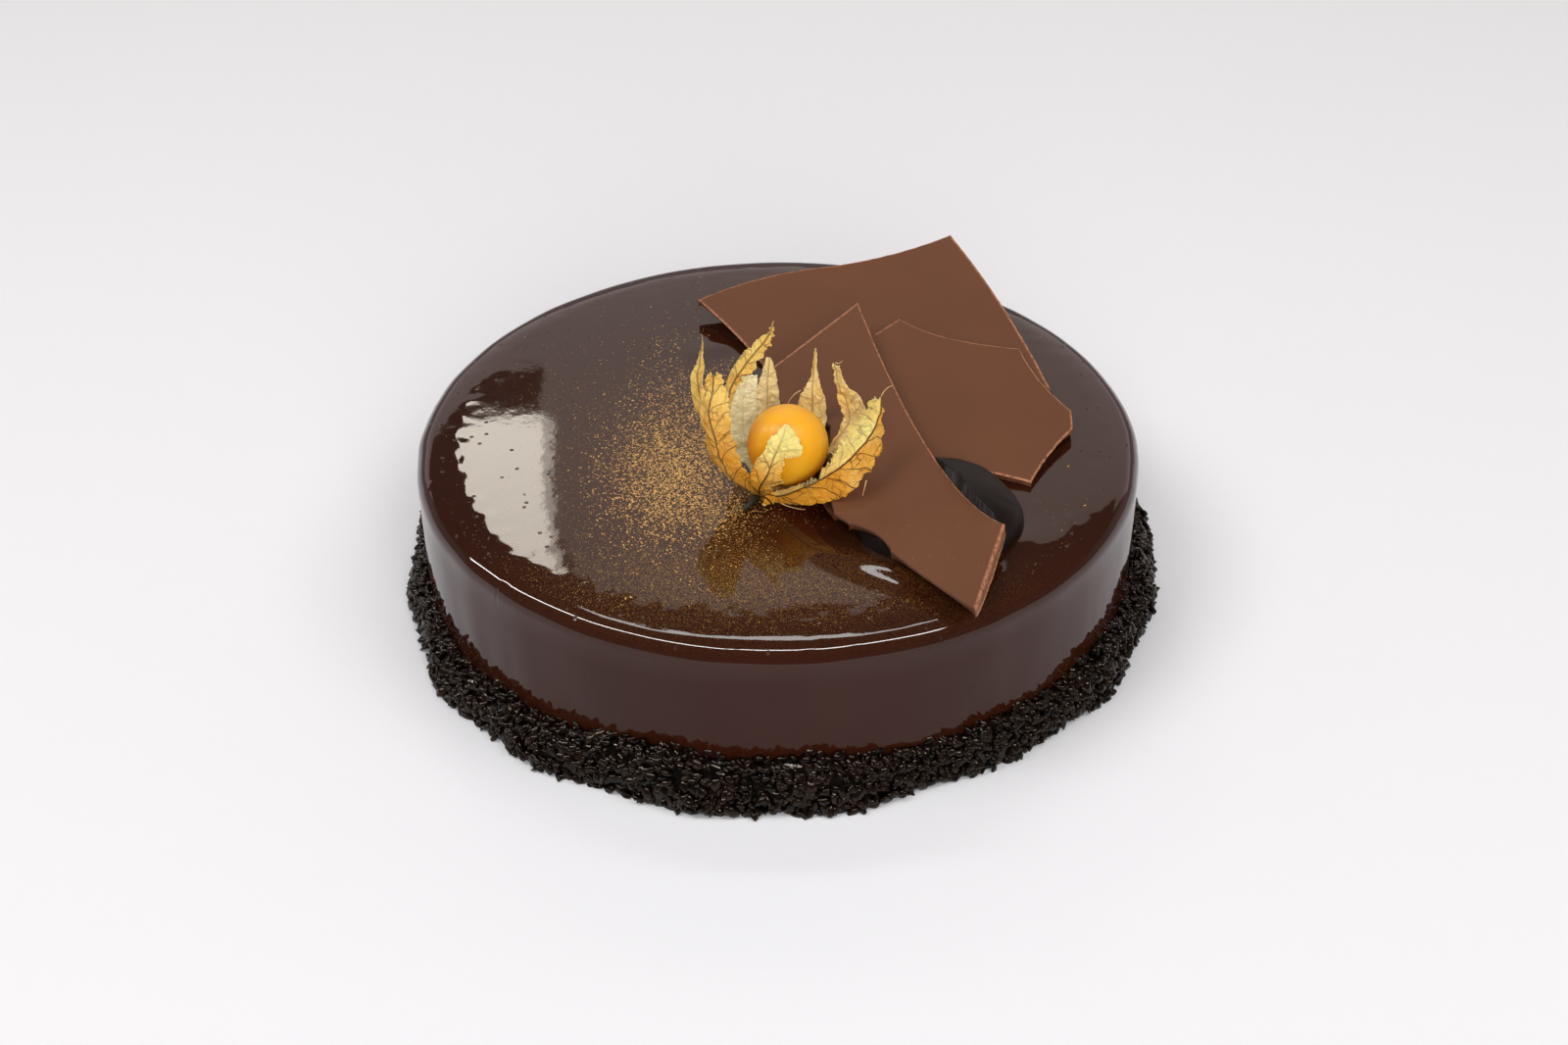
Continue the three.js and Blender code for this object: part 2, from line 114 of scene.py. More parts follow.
# Nicks on the rim: angle round the cake in degrees and size, then their height for a size of 1, their
# depth below the top with its spread, the radius from which they set in and how far that takes
RIM_NICKS = [(224.4, 0.5), (195.6, 0.4), (265.1, 0.35), (274.2, 0.4), (281, 0.3)]
NICK_HEIGHT = 0.5
NICK_BAND = (1.6, 0.7)
NICK_FROM = 80
NICK_FADE = 5

# Collar of flakes: its foot and its top wander round the cake as a mean plus a few waves,
# each waves round the cake, size and turn in degrees
COLLAR_REACH = 6.2
COLLAR_REACH_WAVES = [(3, 1.3, 18), (7, 0.7, 82), (16, 0.9, 156)]
COLLAR_TOP = 10.2
COLLAR_TOP_WAVES = [(2, 1.4, 185), (5, 0.9, 210), (14, 0.6, 267)]
COLLAR_COLUMNS = 360
COLLAR_SLOPE_ROWS = 14
# The core lies below the flakes, bumpy, and reaches a little into the cake
CORE_INSET = 0.8
CORE_BUMPS = (0.7, 1.6, 11)
CORE_BACK = 0.5
# Flakes and the larger chips: how many, how long and their seed, then width and thickness as shares of
# the length, and how uneven and how bent they are
FLAKE_COUNT = 4200
FLAKE_LENGTH = (2.1, 3.9)
FLAKE_SEED = 61
CHIP_COUNT = 300
CHIP_LENGTH = (3.2, 4.6)
CHIP_SEED = 71
FLAKE_WIDTH = (0.5, 0.85)
FLAKE_THICKNESS = (0.24, 0.46)
FLAKE_UNEVEN = 0.24
FLAKE_BEND = 0.35
# How flakes lie on the slope: their spread from foot to top, how far some pass the top and rise there,
# how many apart those at the foot's edge are and how near to it, how far they tumble from the slope, sink
# into it or stand out, and how much of their reach they keep above the floor
FLAKE_SPREAD = (1.05, 1.0)
FLAKE_PAST_TOP = 1.03
FLAKE_RISE = 30
FLAKE_FOOT_STEP = 23
FLAKE_FOOT_SHARE = 0.02
FLAKE_TUMBLE = 0.525
FLAKE_STAND = (-0.9, 0.35)
FLAKE_REST = 0.85
# One flake: places of its rings along it with their girths, and its two poles, as shares of its half sizes
FLAKE_SIDES = 6
FLAKE_RINGS = [(-0.62, 0.74), (0.05, 1.0), (0.66, 0.7)]
FLAKE_POLES = [(-1, 0.1, 0), (1, -0.1, 0)]

# Shards: thin plates whose plane crosses the cake's axis at a height above the glaze, tilted about X and Y.
# Each corner is x, y, then the bow of the edge that follows, positive where hollow, its skew and its splay,
# which is how far the foot of that edge stands out, or in where it is below zero
SHARD_THICKNESS = 2.2
SHARD_BEVEL = 0.28
SHARD_EDGE_STEPS = 40
SHARD_RIM_ROWS = 4
SHARD_SIDE_ROWS = 5
SHARD_SEED = 200
# Unevenness of the outline and of the broken side: height and size of the noise, how fast it changes
# downwards, and the power by which the splay sets in at the ends of an edge
SHARD_OUTLINE_GRAIN = (0.07, 1.1)
SHARD_SIDE_GRAIN = (0.08, 0.9)
SHARD_SIDE_CHANGE = 7
SHARD_SPLAY_POWER = 0.3
# A pale line follows the edges, partly paler broken chocolate and partly a painted highlight: how far it
# runs to the middle, as a share, how strong it is there and on the side, and how strong it is as painted
# shade, a dark line, where the foot stands further in than the last value
SHARD_LINE = 0.014
SHARD_LINE_SCUFF_AND_HIGHLIGHT = 0.8
SHARD_SIDE_TONE = 0.2
SHARD_LINE_PAINTED_SHADE = -0.7
SHARD_SHADE_UNDERCUT = -1.1
SHARDS = {
    "chocolate_shard_back": {
        "axis_height": -6.3, "tilt": (10.8, -3.4),
        "corners": [(-21, 56, -2.2, 0.5, 0), (15, 67, 1.6, 0.5, 0), (48.3, 77.6, -1.5, 0.5, 0),
                    (70, 12, 2.5, 0.5, -1.3), (-3.5, 28.3, 0.6, 0.5, -1)],
    },
    "chocolate_shard_right": {
        "axis_height": 4.1, "tilt": (5.1, 2.1),
        "corners": [(32.2, 38.1, 3, 0.35, 0), (62.7, 25.8, 1.5, 0.5, 0), (73.2, -0.3, 0, 0.5, 0),
                    (72.9, -7.3, 0.7, 0.5, -0.9), (60.5, -28.7, 1.2, 0.5, -1), (36, -23.3, 2, 0.5, 0),
                    (17, 22, 0, 0.5, 0)],
    },
    "chocolate_shard_front": {
        "axis_height": 7.97, "tilt": (5.14, -1.7),
        "corners": [(21.3, 37.1, 5.8, 0.86, 0), (51.8, -53.3, 0, 0.5, 0.9), (42.8, -82.1, -0.4, 0.5, -1.3),
                    (25.4, -61.8, 1.9, 0.5, -1.2), (16.2, -51.5, 0, 0.5, -1.3),
                    (12.8, -47.8, 0.3, 0.5, -1.3), (10.7, -36.5, 0.2, 0.5, -1.3),
                    (12.8, -14.5, 0.6, 0.5, -1.3), (-8.5, 1, 0, 0.5, -1)],
    },
}

# Piped ganache: full domes with long soft creases, each centre, radius, height and crease count
DOLLOPS = {
    "ganache_front": {"at": (37.2, -41.6), "radius": 20, "height": 10.2, "creases": 5},
    "ganache_back": {"at": (26, 51), "radius": 12, "height": 12, "creases": 4},
}
DOLLOP_ROWS = 44
DOLLOP_COLUMNS = 168
DOLLOP_FULLNESS = 0.72
DOLLOP_SINK = 0.4
DOLLOP_PROUD = 0.3
DOLLOP_GAP = 0.05
# Waves and sharp creases round a dollop, as shares of its radius, how wide a crease is and how far it
# twists
DOLLOP_WAVE = 0.02
DOLLOP_CREASE = 0.016
DOLLOP_CREASE_WIDTH = 0.25
DOLLOP_TWIST = 1.6

# Physalis
BERRY_LOW, BERRY_HIGH = node_box("physalis_berry")
BERRY_AT = (BERRY_LOW + BERRY_HIGH) / 2
BERRY_RADIUS = (BERRY_HIGH[2] - BERRY_LOW[2]) / 2
BERRY_ROWS = 64
BERRY_COLUMNS = 128
BERRY_DIMPLE = (0.05, 0.03)
BERRY_WAVE = (0.006, 0.7, 31)
HUSK_BASE = np.array([-4.5, -33.5, CAKE_HEIGHT + 1.7])
STEM_END = np.array([-8, -37.8, CAKE_HEIGHT + 0.7])
STEM_BENDS = [HUSK_BASE + [2, 2, 1.2], HUSK_BASE, STEM_END + [1, 1, 0.8], STEM_END]
STEM_RADIUS = 1.1
STEM_SIDES = 12
PETAL_THICKNESS = 0.3
PETAL_ROWS = 110
PETAL_COLUMNS = 37
PETAL_SCALE = 40
PETAL_CLEARANCE = 0.35
PETAL_SEED = 100
PETAL_EDGE = 0.06
PETAL_FOLD_SOFTNESS = 0.7
# Step along a midrib, as a share, between the two points that give its direction
MIDRIB_STEP = 0.01
# Noise on a petal, each layer its height, its size and what it adds to the petal's seed: the end's fray
# about a mean, the ragged edge, sharp creases about a mean, slow crumpling and the waving of the edge
FRAY_MEAN = 0.5
FRAY = [(0.35, 0.9, 0), (0.25, 0.4, 6)]
RAGGED = [(1, 2.2, 1), (0.6, 0.8, 2), (0.4, 0.4, 7)]
CREASE_DEPTH = 0.42
CREASE_MEAN = 0.4
CREASES = [(1, 2.6, 3), (0.5, 1.2, 4)]
CRUMPLE = [(0.28, 3.4, 8)]
EDGE_WAVE = [(0.45, 5.5, 5)]
# The two edges are this far apart in the noise, so that they differ
EDGE_APART = 9.0
# Ragged edge and crumpling reach their full size at these shares of the way from the base
RAGGED_FULL = 1 / 3
CRUMPLE_FULL = 1 / 4
# Each midrib runs from the husk's base through points given as turn in degrees about the berry's upright
# axis, reach from that axis and rise above the glaze. Clock and counter are the half widths on its two sides
# at even steps from base to tip. Facing is the turn and lift of the outer side, fold how far each half bends
# back, in degrees, tear how ragged each edge is, torn how deep the end is torn, pale how bleached base and
# tip are, and, where given, how much paler each half is: painted light, making the half that faces the light
# paler
PETALS = {
    "left_small": {
        "path": [(-157.5, 13, 7), (-176.5, 16.5, 14.5), (174.5, 20, 22.5), (169.5, 21.5, 28),
                 (166.5, 21, 32), (163, 20.5, 37)],
        "clock": [1, 2.6, 2.4, 3, 2.1, 1, 0.1], "counter": [1, 1.1, 1.2, 1.4, 2, 1.2, 0.3],
        "facing": [(225, 0), (235, 10)], "fold": (12, 12),
        "tear": (0.2, 0.4), "torn": 0, "pale": (0.1, 0.5)},
    "left_broad": {
        "path": [(-147.5, 15, 8), (-150, 18, 14), (-153.5, 19, 20.5), (-161.5, 19, 25.5), (-170, 17.5, 30),
                 (-178.5, 17, 34)],
        "clock": [1, 6.3, 5.3, 4, 4.2, 3.5, 2.1], "counter": [1, 4.6, 5.2, 5.2, 5.7, 4, 1.6],
        "facing": [(225, -25), (245, 20)], "fold": (18, 18),
        "tear": (0.7, 0.9), "torn": 4, "pale": (-0.1, 0.35)},
    "left_leaning": {
        "path": [(162.5, 13.5, 5.5), (147.5, 17, 13.5), (140.5, 17.5, 21), (132, 15, 27.5), (122, 13, 32),
                 (111.5, 12, 35.5), (105.5, 11.5, 39.5)],
        "clock": [1, 1, 1.4, 2.3, 2.6, 2.3, 1.4, 0.1], "counter": [1, 0.9, 1.2, 1.7, 2.7, 2.6, 1.9, 0.3],
        "facing": [(250, 0), (265, 40)], "fold": (12, 12),
        "tear": (0.7, 1), "torn": 0.2, "pale": (0.3, 0.4)},
    "back_left": {
        "path": [(150, 9, 1.5), (133.5, 14, 3), (129.5, 17, 11), (128, 17.5, 17.5), (124, 17, 23.5)],
        "clock": [1, 1.5, 2.8, 3.4, 3.8, 2.6], "counter": [1, 1.5, 3.6, 3.5, 3.7, 3],
        "facing": [(130, -40), (115, -10)], "fold": (10, 10),
        "tear": (0.2, 0.2), "torn": 1, "pale": (1, 1.2)},
    "back": {
        "path": [(110, 8, 1.5), (106, 13.5, 2), (105, 17, 8.5), (105, 18.5, 16.5), (103, 18.5, 26)],
        "clock": [1, 1.5, 2.1, 3.4, 3.2, 0.7], "counter": [1, 1.5, 3.6, 4.4, 2.7, 0.8],
        "facing": [(95, -45), (90, -5)], "fold": (10, 10),
        "tear": (0.4, 0.4), "torn": 0.6, "pale": (0.7, 0.5)},
    "back_right": {
        "path": [(70, 8, 1.5), (67, 14, 2), (67.5, 16, 8), (70, 18, 14.5), (71, 19.5, 19.5), (70, 20, 27.5)],
        "clock": [1, 1.5, 3.1, 3.6, 3.4, 1.6, 0.4], "counter": [1, 1.5, 2.9, 3.8, 3.6, 1, 0.2],
        "facing": [(85, -45), (80, 0)], "fold": (10, 10),
        "tear": (0.4, 0.4), "torn": 0, "pale": (0.2, 0.3)},
    "right_upper": {
        "path": [(20, 8.5, 1.5), (24, 11, 8), (31, 17.5, 13), (40, 18.5, 17), (47, 18, 21.5),
                 (49, 17.5, 27)],
        "clock": [1, 1.2, 3.4, 5, 4.7, 2.1, 1.4], "counter": [1, 1, 0.9, 2.3, 2.7, 1.6, 1.1],
        "facing": [(30, -45), (60, 0)], "fold": (10, 10),
        "tear": (0.3, 0.7), "torn": 1.2, "pale": (0.1, 0.3)},
    "right_keel": {
        "path": [(-96, 9.5, 4.5), (-62, 15.3, 11.4), (-41.5, 18.6, 16), (-22, 20, 19), (-4, 21.5, 21.5),
                 (5, 22, 25)],
        "clock": [1, 2, 2.6, 6.2, 6.6, 6, 4.2], "counter": [1, 2.6, 7, 6.1, 5.2, 1.8, 0.4],
        "facing": [(232, 0), (258, 0), (290, 0)], "fold": (70, -15),
        # The clock half's extra paleness is painted light on the half that faces the light
        "tear": (2.2, 1.2), "torn": 3, "pale": (-0.15, 0.1), "bleach_and_painted_light": (0.6, 0)},
    "front": {
        "path": [(-124, 12, 7), (-113.5, 12.2, 11.5), (-107, 11.1, 16), (-100.5, 9, 19), (-92, 5.2, 21.5)],
        "clock": [1, 3, 4.4, 3.2, 3, 0.6], "counter": [1, 3.4, 4.6, 3.4, 6.2, 1.2],
        "facing": [(262, -15), (265, 30)], "fold": (8, 8),
        "tear": (0.5, 1.5), "torn": 0.5, "pale": (-0.6, 1.3)},
    "front_flap": {
        "path": [(-118.5, 11, 4), (-112, 10, 2)],
        "clock": [1, 2.4, 0.3], "counter": [1, 2.2, 0.3],
        "facing": [(265, 20), (265, 20)], "fold": (5, 5),
        "tear": (0.2, 0.2), "torn": 0, "pale": (-0.4, -0.2)},
}
# Dry threads at the petals' edges, each three points given in the same way as a midrib's
HUSK_THREADS = [
    [(79.5, 18, 16.5), (86, 16, 16.5), (89.5, 14, 15)],
    [(33.5, 16, 12), (32, 15, 12), (29, 14.5, 11.5)],
    [(163, 20.5, 36.5), (163, 20.5, 37.5), (163, 20.5, 39)],
    [(143, 18, 22), (144, 19, 22.5), (147, 18.5, 21.5)],
    [(49, 17.5, 27), (46, 18, 26.5), (45, 18.5, 27.5)],
    [(5, 22, 24.5), (6.5, 23, 26.5), (8, 25, 26.5)],
    [(-47.5, 15.5, 17), (-50, 15, 18.5), (-48, 14, 16.5)],
    [(-38.5, 23, 11.8), (-41, 23.3, 10.3), (-43.5, 23.6, 8.8)],
    [(-99.5, 10.5, 2.8), (-86.5, 13, 3.1), (-75.5, 15.5, 4.2)],
]
THREAD_RADIUS = 0.14
THREAD_SIDES = 6
# Threads and stem: how many rings they have, by which share they taper, and a direction along which none
# runs
TUBE_ROWS = 20
TUBE_TAPER = 0.6
TUBE_ASIDE = (0.3, 0.5, 0.81)

# Gold dust on the glaze and the shards
DUST_SEED = 51
# Each drift has its count of specks, their smallest and largest reach, its middle and its spread along X
# and Y
DUST_DRIFTS = [
    (5400, (0.16, 0.45), (-25, -22), (9, 15)),
    (2000, (0.13, 0.36), (-22, 10), (9, 18)),
    (1200, (0.12, 0.32), (-13, -38), (7, 6)),
    (7000, (0.06, 0.15), (-26, -14), (20, 30)),
    (11000, (0.07, 0.15), (-6, -63), (34, 13)),
    (420, (0.1, 0.26), (17, -58), (4, 2.5)),
    (900, (0.06, 0.15), (0, 0), (55, 45)),
]
# Small specks are the more common by this power
DUST_SIZE_POWER = 1.6
# The share of the specks over a shard that lie on it
DUST_ON_SHARD = 0.03
# Larger single specks to the right
DUST_SINGLES = [(72.6, -35.8), (70.5, -19.5), (66, -46)]
DUST_SINGLE_REACH = 0.45
# The husk keeps most of the dust off the glaze in front of it: middle, spread and how much is left there.
# Over the same place the haze of finer dust is faded out fully, as painted shade of the husk
DUST_LEE_AND_SHADE = ((6, -44), (12, 8), 0.3)
# A little of it on the front of the collar: count, the angle's middle and spread in degrees, lowest and
# highest share of the slope, smallest and largest reach, and how far it lies above the slope
DUST_COLLAR = (50, (-80, 17), (0.03, 0.4), (0.12, 0.34))
DUST_COLLAR_LIFT = 0.5
# A speck's three corners, their wander in radians, how far out they lie and how high they and the peak
# stand, as shares of the reach, with a least height
DUST_CORNERS = np.array([0, 2.1, 4.2])
DUST_CORNER_WANDER = 0.5
DUST_CORNER_REACH = (0.55, 1.1)
DUST_STAND = 0.14
DUST_LEAST_STAND = 0.02
# Finer dust that only tints the glaze: how thick it lies, its middle and its spread. It ends at a depth
# below the top and fades over so much above it
DUST_HAZE = [(0.45, (-26, -14), (24, 34)), (0.68, (-4, -66), (42, 16))]
HAZE_DEPTH = 4
HAZE_FADE = 2

# Veins of the husk, in millimetres: noise that bends them, each its scale and push, the midrib's half
# width from full to none, the side veins' spacing, slant, curve, width as shares of the spacing and
# strength, and the net's scale, its width and the noise that makes it patchy
VEIN_BENDS = [(0.16, 5.0), (0.7, 1.2)]
MIDRIB_WIDTH = (0.1, 0.3)
SIDE_VEIN_SPACING = 4.6
SIDE_VEIN_SLANT = -1.3
SIDE_VEIN_CURVE = 0.8
SIDE_VEIN_WIDTH = (0.016, 0.055)
SIDE_VEIN_STRENGTH = 0.8
NET_SCALE = 0.4
NET_WIDTH = (0.012, 0.055)
NET_PATCH_SCALE = 0.3
NET_PATCHES = (0.3, 0.8)

# Camera, as a pinhole over a 36 mm sensor, with its angles in degrees
CAMERA_AT = (0, -458.6, 337.11)
CAMERA_LENS = 50
CAMERA_YAW = 0.1788
CAMERA_PITCH = 35.2782
CAMERA_ROLL = -0.4678
# Nearest distance that the camera sees, in metres
CAMERA_NEAR = 0.01

# Stage, in metres: floor, room and lights. The room's light goes from front to back by the ray's Y and to
# above by its Z
FLOOR_RADIUS = 1.6
FLOOR_SIDES = 96
ROOM_FRONT = (0.16, 0.15, 0.15, 1)
ROOM_BACK = (0.34, 0.31, 0.31, 1)
ROOM_ABOVE = (0.1, 0.095, 0.095, 1)
ROOM_TO_BACK = (0.0, 0.6)
ROOM_TO_ABOVE = (0.25, 0.42)
ROOM_SEEN = (0.8, 0.79, 0.8, 1)
CAKE_HEART = (0, 0, 0.04)
CARD_COLOUR = (1, 0.87, 0.81)
SOFTBOX_COLOUR = (1, 0.92, 0.8)
SOFTBOX_TILT = (1, 0, 0.11)
LIGHTS = [
    {"name": "back_card", "at": (0.88, 1.5, 0.908), "target": (0.88, 0, 0.908),
     "width": 2.28, "height": 0.876, "radiance": 0.75, "colour": CARD_COLOUR},
    {"name": "low_card", "at": (-1.025, 1.5, 0.687), "target": (-1.025, 0, 0.687),
     "width": 1.53, "height": 0.434, "radiance": 0.75, "colour": CARD_COLOUR},
    {"name": "back_softbox", "at": (-0.336, 1.45, 1.1), "target": (-0.336, 0, 1.1),
     "width": 0.14, "height": 0.3, "radiance": 8.2, "colour": SOFTBOX_COLOUR, "along": SOFTBOX_TILT},
    {"name": "softbox_edge", "at": (-0.26, 1.45, 1.1), "target": (-0.26, 0, 1.1),
     "width": 0.014, "height": 0.28, "radiance": 3.5, "colour": SOFTBOX_COLOUR, "along": SOFTBOX_TILT},
    {"name": "top_strip", "at": (-0.03, 0.85, 1.45), "width": 0.86, "height": 0.12, "radiance": 8.0},
    {"name": "front_strip", "at": (0.35, -0.55, 1.5), "width": 1.25, "height": 0.1, "radiance": 34.0,
     "diffuse": False},
    {"name": "left_strip", "at": (-1.05, -0.1, 1.42), "width": 2.16, "height": 0.1, "radiance": 34.0,
     "along": (1.7, -0.9, 0), "diffuse": False},
    {"name": "left_softbox", "at": (-0.84, -0.3, 1.4), "width": 0.8, "height": 0.8, "radiance": 5.4,
     "glossy": False},
    {"name": "right_softbox", "at": (0.84, -0.3, 1.4), "width": 0.9, "height": 0.9, "radiance": 2.9,
     "glossy": False},
    {"name": "front_fill", "at": (0.2, -1.7, 0.75), "width": 1.2, "height": 1.2, "radiance": 5.4,
     "glossy": False},
]


# Shapes

def smooth_noise(points, size, seed):
    """Value noise from -1 to 1: random values on a cubic lattice of that size, blended by a smooth step
    along each axis."""
    scaled = np.asarray(points, float) / size
    cell = np.floor(scaled).astype(np.int64)
    part = scaled - cell
    part = part * part * (3 - 2 * part)
    total = np.zeros(scaled.shape[:-1])
    for corner in np.ndindex(2, 2, 2):
        at = cell + corner
        key = np.bitwise_xor.reduce(at * PLACE_KEYS, axis=-1) ^ seed * SEED_KEY
        for shift, factor in STIR_KEYS:
            key = (key ^ (key >> shift)) * factor & KEY_LIMIT
        weight = np.prod(np.where(corner, part, 1 - part), axis=-1)
        total += weight * (key / (KEY_LIMIT // 2) - 1)
    return total


def waves(points, height, size, seed):
    """Noise of a given height."""
    return height * smooth_noise(points, size, seed)


def layered(points, layers, seed, sharp=False):
    """A sum of noise layers, each its height, its size and what it adds to the seed. Sharp layers keep
    the size of the noise alone, which makes creases."""
    parts = [waves(points, height, size, seed + extra) for height, size, extra in layers]
    return sum(np.abs(part) for part in parts) if sharp else sum(parts)


def bell(distance, spread):
    """A bell curve: 1 at no distance, and 1 / e where the distance is the spread."""
    return np.exp(-(distance / spread) ** 2)


def patch(places, middle, spread):
    """A bell curve over X and Y about a middle."""
    return np.exp(-(((places[:, :2] - middle) / spread) ** 2).sum(-1))


def full_turn(count):
    """Evenly spaced angles round a circle."""
    return np.linspace(0, 2 * math.pi, count, endpoint=False)


def polar(radius, angle, height):
    """Points from their radius and angle about the upright axis and their height."""
    return np.stack(np.broadcast_arrays(radius * np.cos(angle), radius * np.sin(angle), height), -1)


def unit(vectors):
    """Vectors made one long."""
    return vectors / np.linalg.norm(vectors, axis=-1, keepdims=True)


def at_height(flat, height):
    """Places on X and Y as points at one height."""
    return np.column_stack([flat, np.full(len(flat), height)])


def grid_quads(rows, columns, wrap=False):
    """Quads between neighbouring points of a grid, back to the first column where it wraps."""
    steps = np.arange(columns if wrap else columns - 1)
    row, column = np.meshgrid(np.arange(rows - 1), steps, indexing="ij")
    after = (column + 1) % columns
    low, high = row * columns, (row + 1) * columns
    return np.stack([low + column, low + after, high + after, high + column], -1).reshape(-1, 4)


def fan(centre, ring, inward=False):
    """Triangles from one point to a closed ring of points."""
    after = np.roll(ring, -1)
    middle = np.full_like(ring, centre)
    return np.stack([middle, after, ring] if inward else [middle, ring, after], -1)


def turned_surface(grid):
    """A closed surface from rings of points: quads between the rings and a fan to the middle of both end
    rings."""
    rows, columns = grid.shape[:2]
    points = np.concatenate([grid.reshape(-1, 3), grid[:1].mean(1), grid[-1:].mean(1)])
    first, last = np.arange(columns), np.arange(columns) + (rows - 1) * columns
    count = rows * columns
    ends = [fan(count, first, inward=True), fan(count + 1, last)]
    return points, [grid_quads(rows, columns, wrap=True)] + ends


def joined(parts):
    """Several (points, faces) as one, with the later faces counted on."""
    points, quads, triangles, count = [], [], [], 0
    for part_points, part_faces in parts:
        points.append(part_points)
        for faces in part_faces:
            (quads if faces.shape[1] == 4 else triangles).append(faces + count)
        count += len(part_points)
    faces = [np.concatenate(kind) for kind in (quads, triangles) if kind]
    return np.concatenate(points), faces


def make_piece(name, points, faces, material, nodes=(), smooth=True, uv=None, values=None):
    """A piece from points in millimetres and lists of faces, each list of faces with as many corners,
    with an optional UV and named values for each point."""
    mesh = bpy.data.meshes.new(name)
    corners = np.concatenate([part.ravel() for part in faces])
    sizes = np.concatenate([np.full(len(part), part.shape[1]) for part in faces])
    mesh.vertices.add(len(points))
    mesh.vertices.foreach_set("co", (np.asarray(points) * MM).astype(np.float32).ravel())
    mesh.loops.add(len(corners))
    mesh.loops.foreach_set("vertex_index", corners.astype(np.int32))
    mesh.polygons.add(len(sizes))
    mesh.polygons.foreach_set("loop_start", np.concatenate([[0], np.cumsum(sizes)[:-1]]).astype(np.int32))
    mesh.polygons.foreach_set("use_smooth", np.full(len(sizes), smooth))
    mesh.update(calc_edges=True)
    if uv is not None:
        layer = mesh.uv_layers.new(name="UVMap")
        layer.data.foreach_set("uv", np.asarray(uv, np.float32)[corners].ravel())
    for label, numbers in (values or {}).items():
        attribute = mesh.attributes.new(label, "FLOAT", "POINT")
        attribute.data.foreach_set("value", np.asarray(numbers, np.float32))
    mesh.materials.append(material)
    piece = bpy.data.objects.new(name, mesh)
    bpy.context.scene.collection.objects.link(piece)
    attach(piece, BODY)
    if nodes:
        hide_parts(*nodes)
    return piece


# Glazed cake

def glaze_fall(radius):
    """How far the top has fallen at a radius: a high power of the radius up to the shoulder, and from
    there a parabola whose slope grows to that of the rim's start."""
    start, end = (math.tan(math.radians(angle)) for angle in SHOULDER_SLOPE)
    share = np.minimum(radius, SHOULDER_FROM) / SHOULDER_FROM
    flat = start * SHOULDER_FROM / (SHOULDER_POWER + 1) * share ** (SHOULDER_POWER + 1)
    beyond = np.maximum(radius - SHOULDER_FROM, 0)
    return flat + start * beyond + (end - start) * beyond ** 2 / (2 * (RIM_FROM - SHOULDER_FROM))


def glaze_relief(points, radius, side_share):
    """How far the glaze stands out from the plain form: drag marks and sags on the side, a slow wave
    along the rim, a few nicks on it, and off the side ripples on the shoulder and swells against what
    stands in it."""
    x, y, z = np.moveaxis(points, -1, 0)
    depth = CAKE_HEIGHT - z
    low = bell(z - LOW_BAND[0], LOW_BAND[1])
    stretched = points * DRAG_STRETCH
    drag = waves(stretched, *DRAG_MARKS) + low * waves(stretched, *FINE_DRAG)
    drag += low * np.maximum(waves(points * SAG_STRETCH, *SAGS), 0)
    down, inward = RIM_WAVE_FADE
    rim = waves(points, *RIM_WAVE) * bell(depth, down) * bell(CAKE_RADIUS - radius, inward)
    swell = np.zeros_like(z)
    for at_x, at_y, along, across, turn, height in GLAZE_SWELLS:
        angle = math.radians(turn)
        u = (x - at_x) * math.cos(angle) + (y - at_y) * math.sin(angle)
        v = (y - at_y) * math.cos(angle) - (x - at_x) * math.sin(angle)
        swell += height * bell(u, along) * bell(v, across)
    swell *= np.clip((SWELL_DEPTH - depth) / SWELL_FADE, 0, 1)
    bearing = np.degrees(np.arctan2(y, x)) % 360
    nick = np.zeros_like(z)
    for angle, size in RIM_NICKS:
        away = np.radians(bearing - angle) * CAKE_RADIUS
        nick += NICK_HEIGHT * size * bell(away, size) * bell(depth - NICK_BAND[0], NICK_BAND[1])
    nick *= np.clip((radius - NICK_FROM) / NICK_FADE, 0, 1) ** 2
    ripple = sum(waves(points, *layer) for layer in RIPPLES) * bell(radius - RIPPLE_BAND[0], RIPPLE_BAND[1])
    return side_share * drag + rim + nick + (1 - side_share) * (swell + ripple)


def glaze_profile():
    """Radius, height and tilt of the outward direction along the cake's profile: underside, upright side,
    round rim, shoulder and top."""
    steepest = math.radians(SHOULDER_SLOPE[1])
    swing = np.linspace(0, math.pi / 2 - steepest, GLAZE_EDGE_ROWS)
    rim = RIM_FROM + CAKE_EDGE_RADIUS * (np.cos(swing) - math.sin(steepest))
    rim_height = CAKE_HEIGHT - glaze_fall(RIM_FROM) - CAKE_EDGE_RADIUS * (math.cos(steepest) - np.sin(swing))
    shoulder = np.linspace(RIM_FROM, SHOULDER_FROM, GLAZE_SHOULDER_ROWS)[1:]
    flat = SHOULDER_FROM * (1 - np.linspace(0, 1, GLAZE_TOP_ROWS) ** GLAZE_TOP_CROWDING)[1:-1]
    top = np.concatenate([shoulder, flat])
    under = np.linspace(GLAZE_UNDERSIDE_FROM, 1, GLAZE_UNDERSIDE_ROWS) * CAKE_RADIUS
    upright = np.linspace(0, rim_height[0], GLAZE_SIDE_ROWS)[1:-1]
    radius = [under, np.full(len(upright), CAKE_RADIUS), rim, top]
    height = [np.zeros(len(under)), upright, rim_height, CAKE_HEIGHT - glaze_fall(top)]
    tilt = [np.full(len(under), -math.pi / 2), np.zeros(len(upright)), swing, np.full(len(top), math.pi / 2)]
    return [np.concatenate(parts)[:, None] for parts in (radius, height, tilt)]


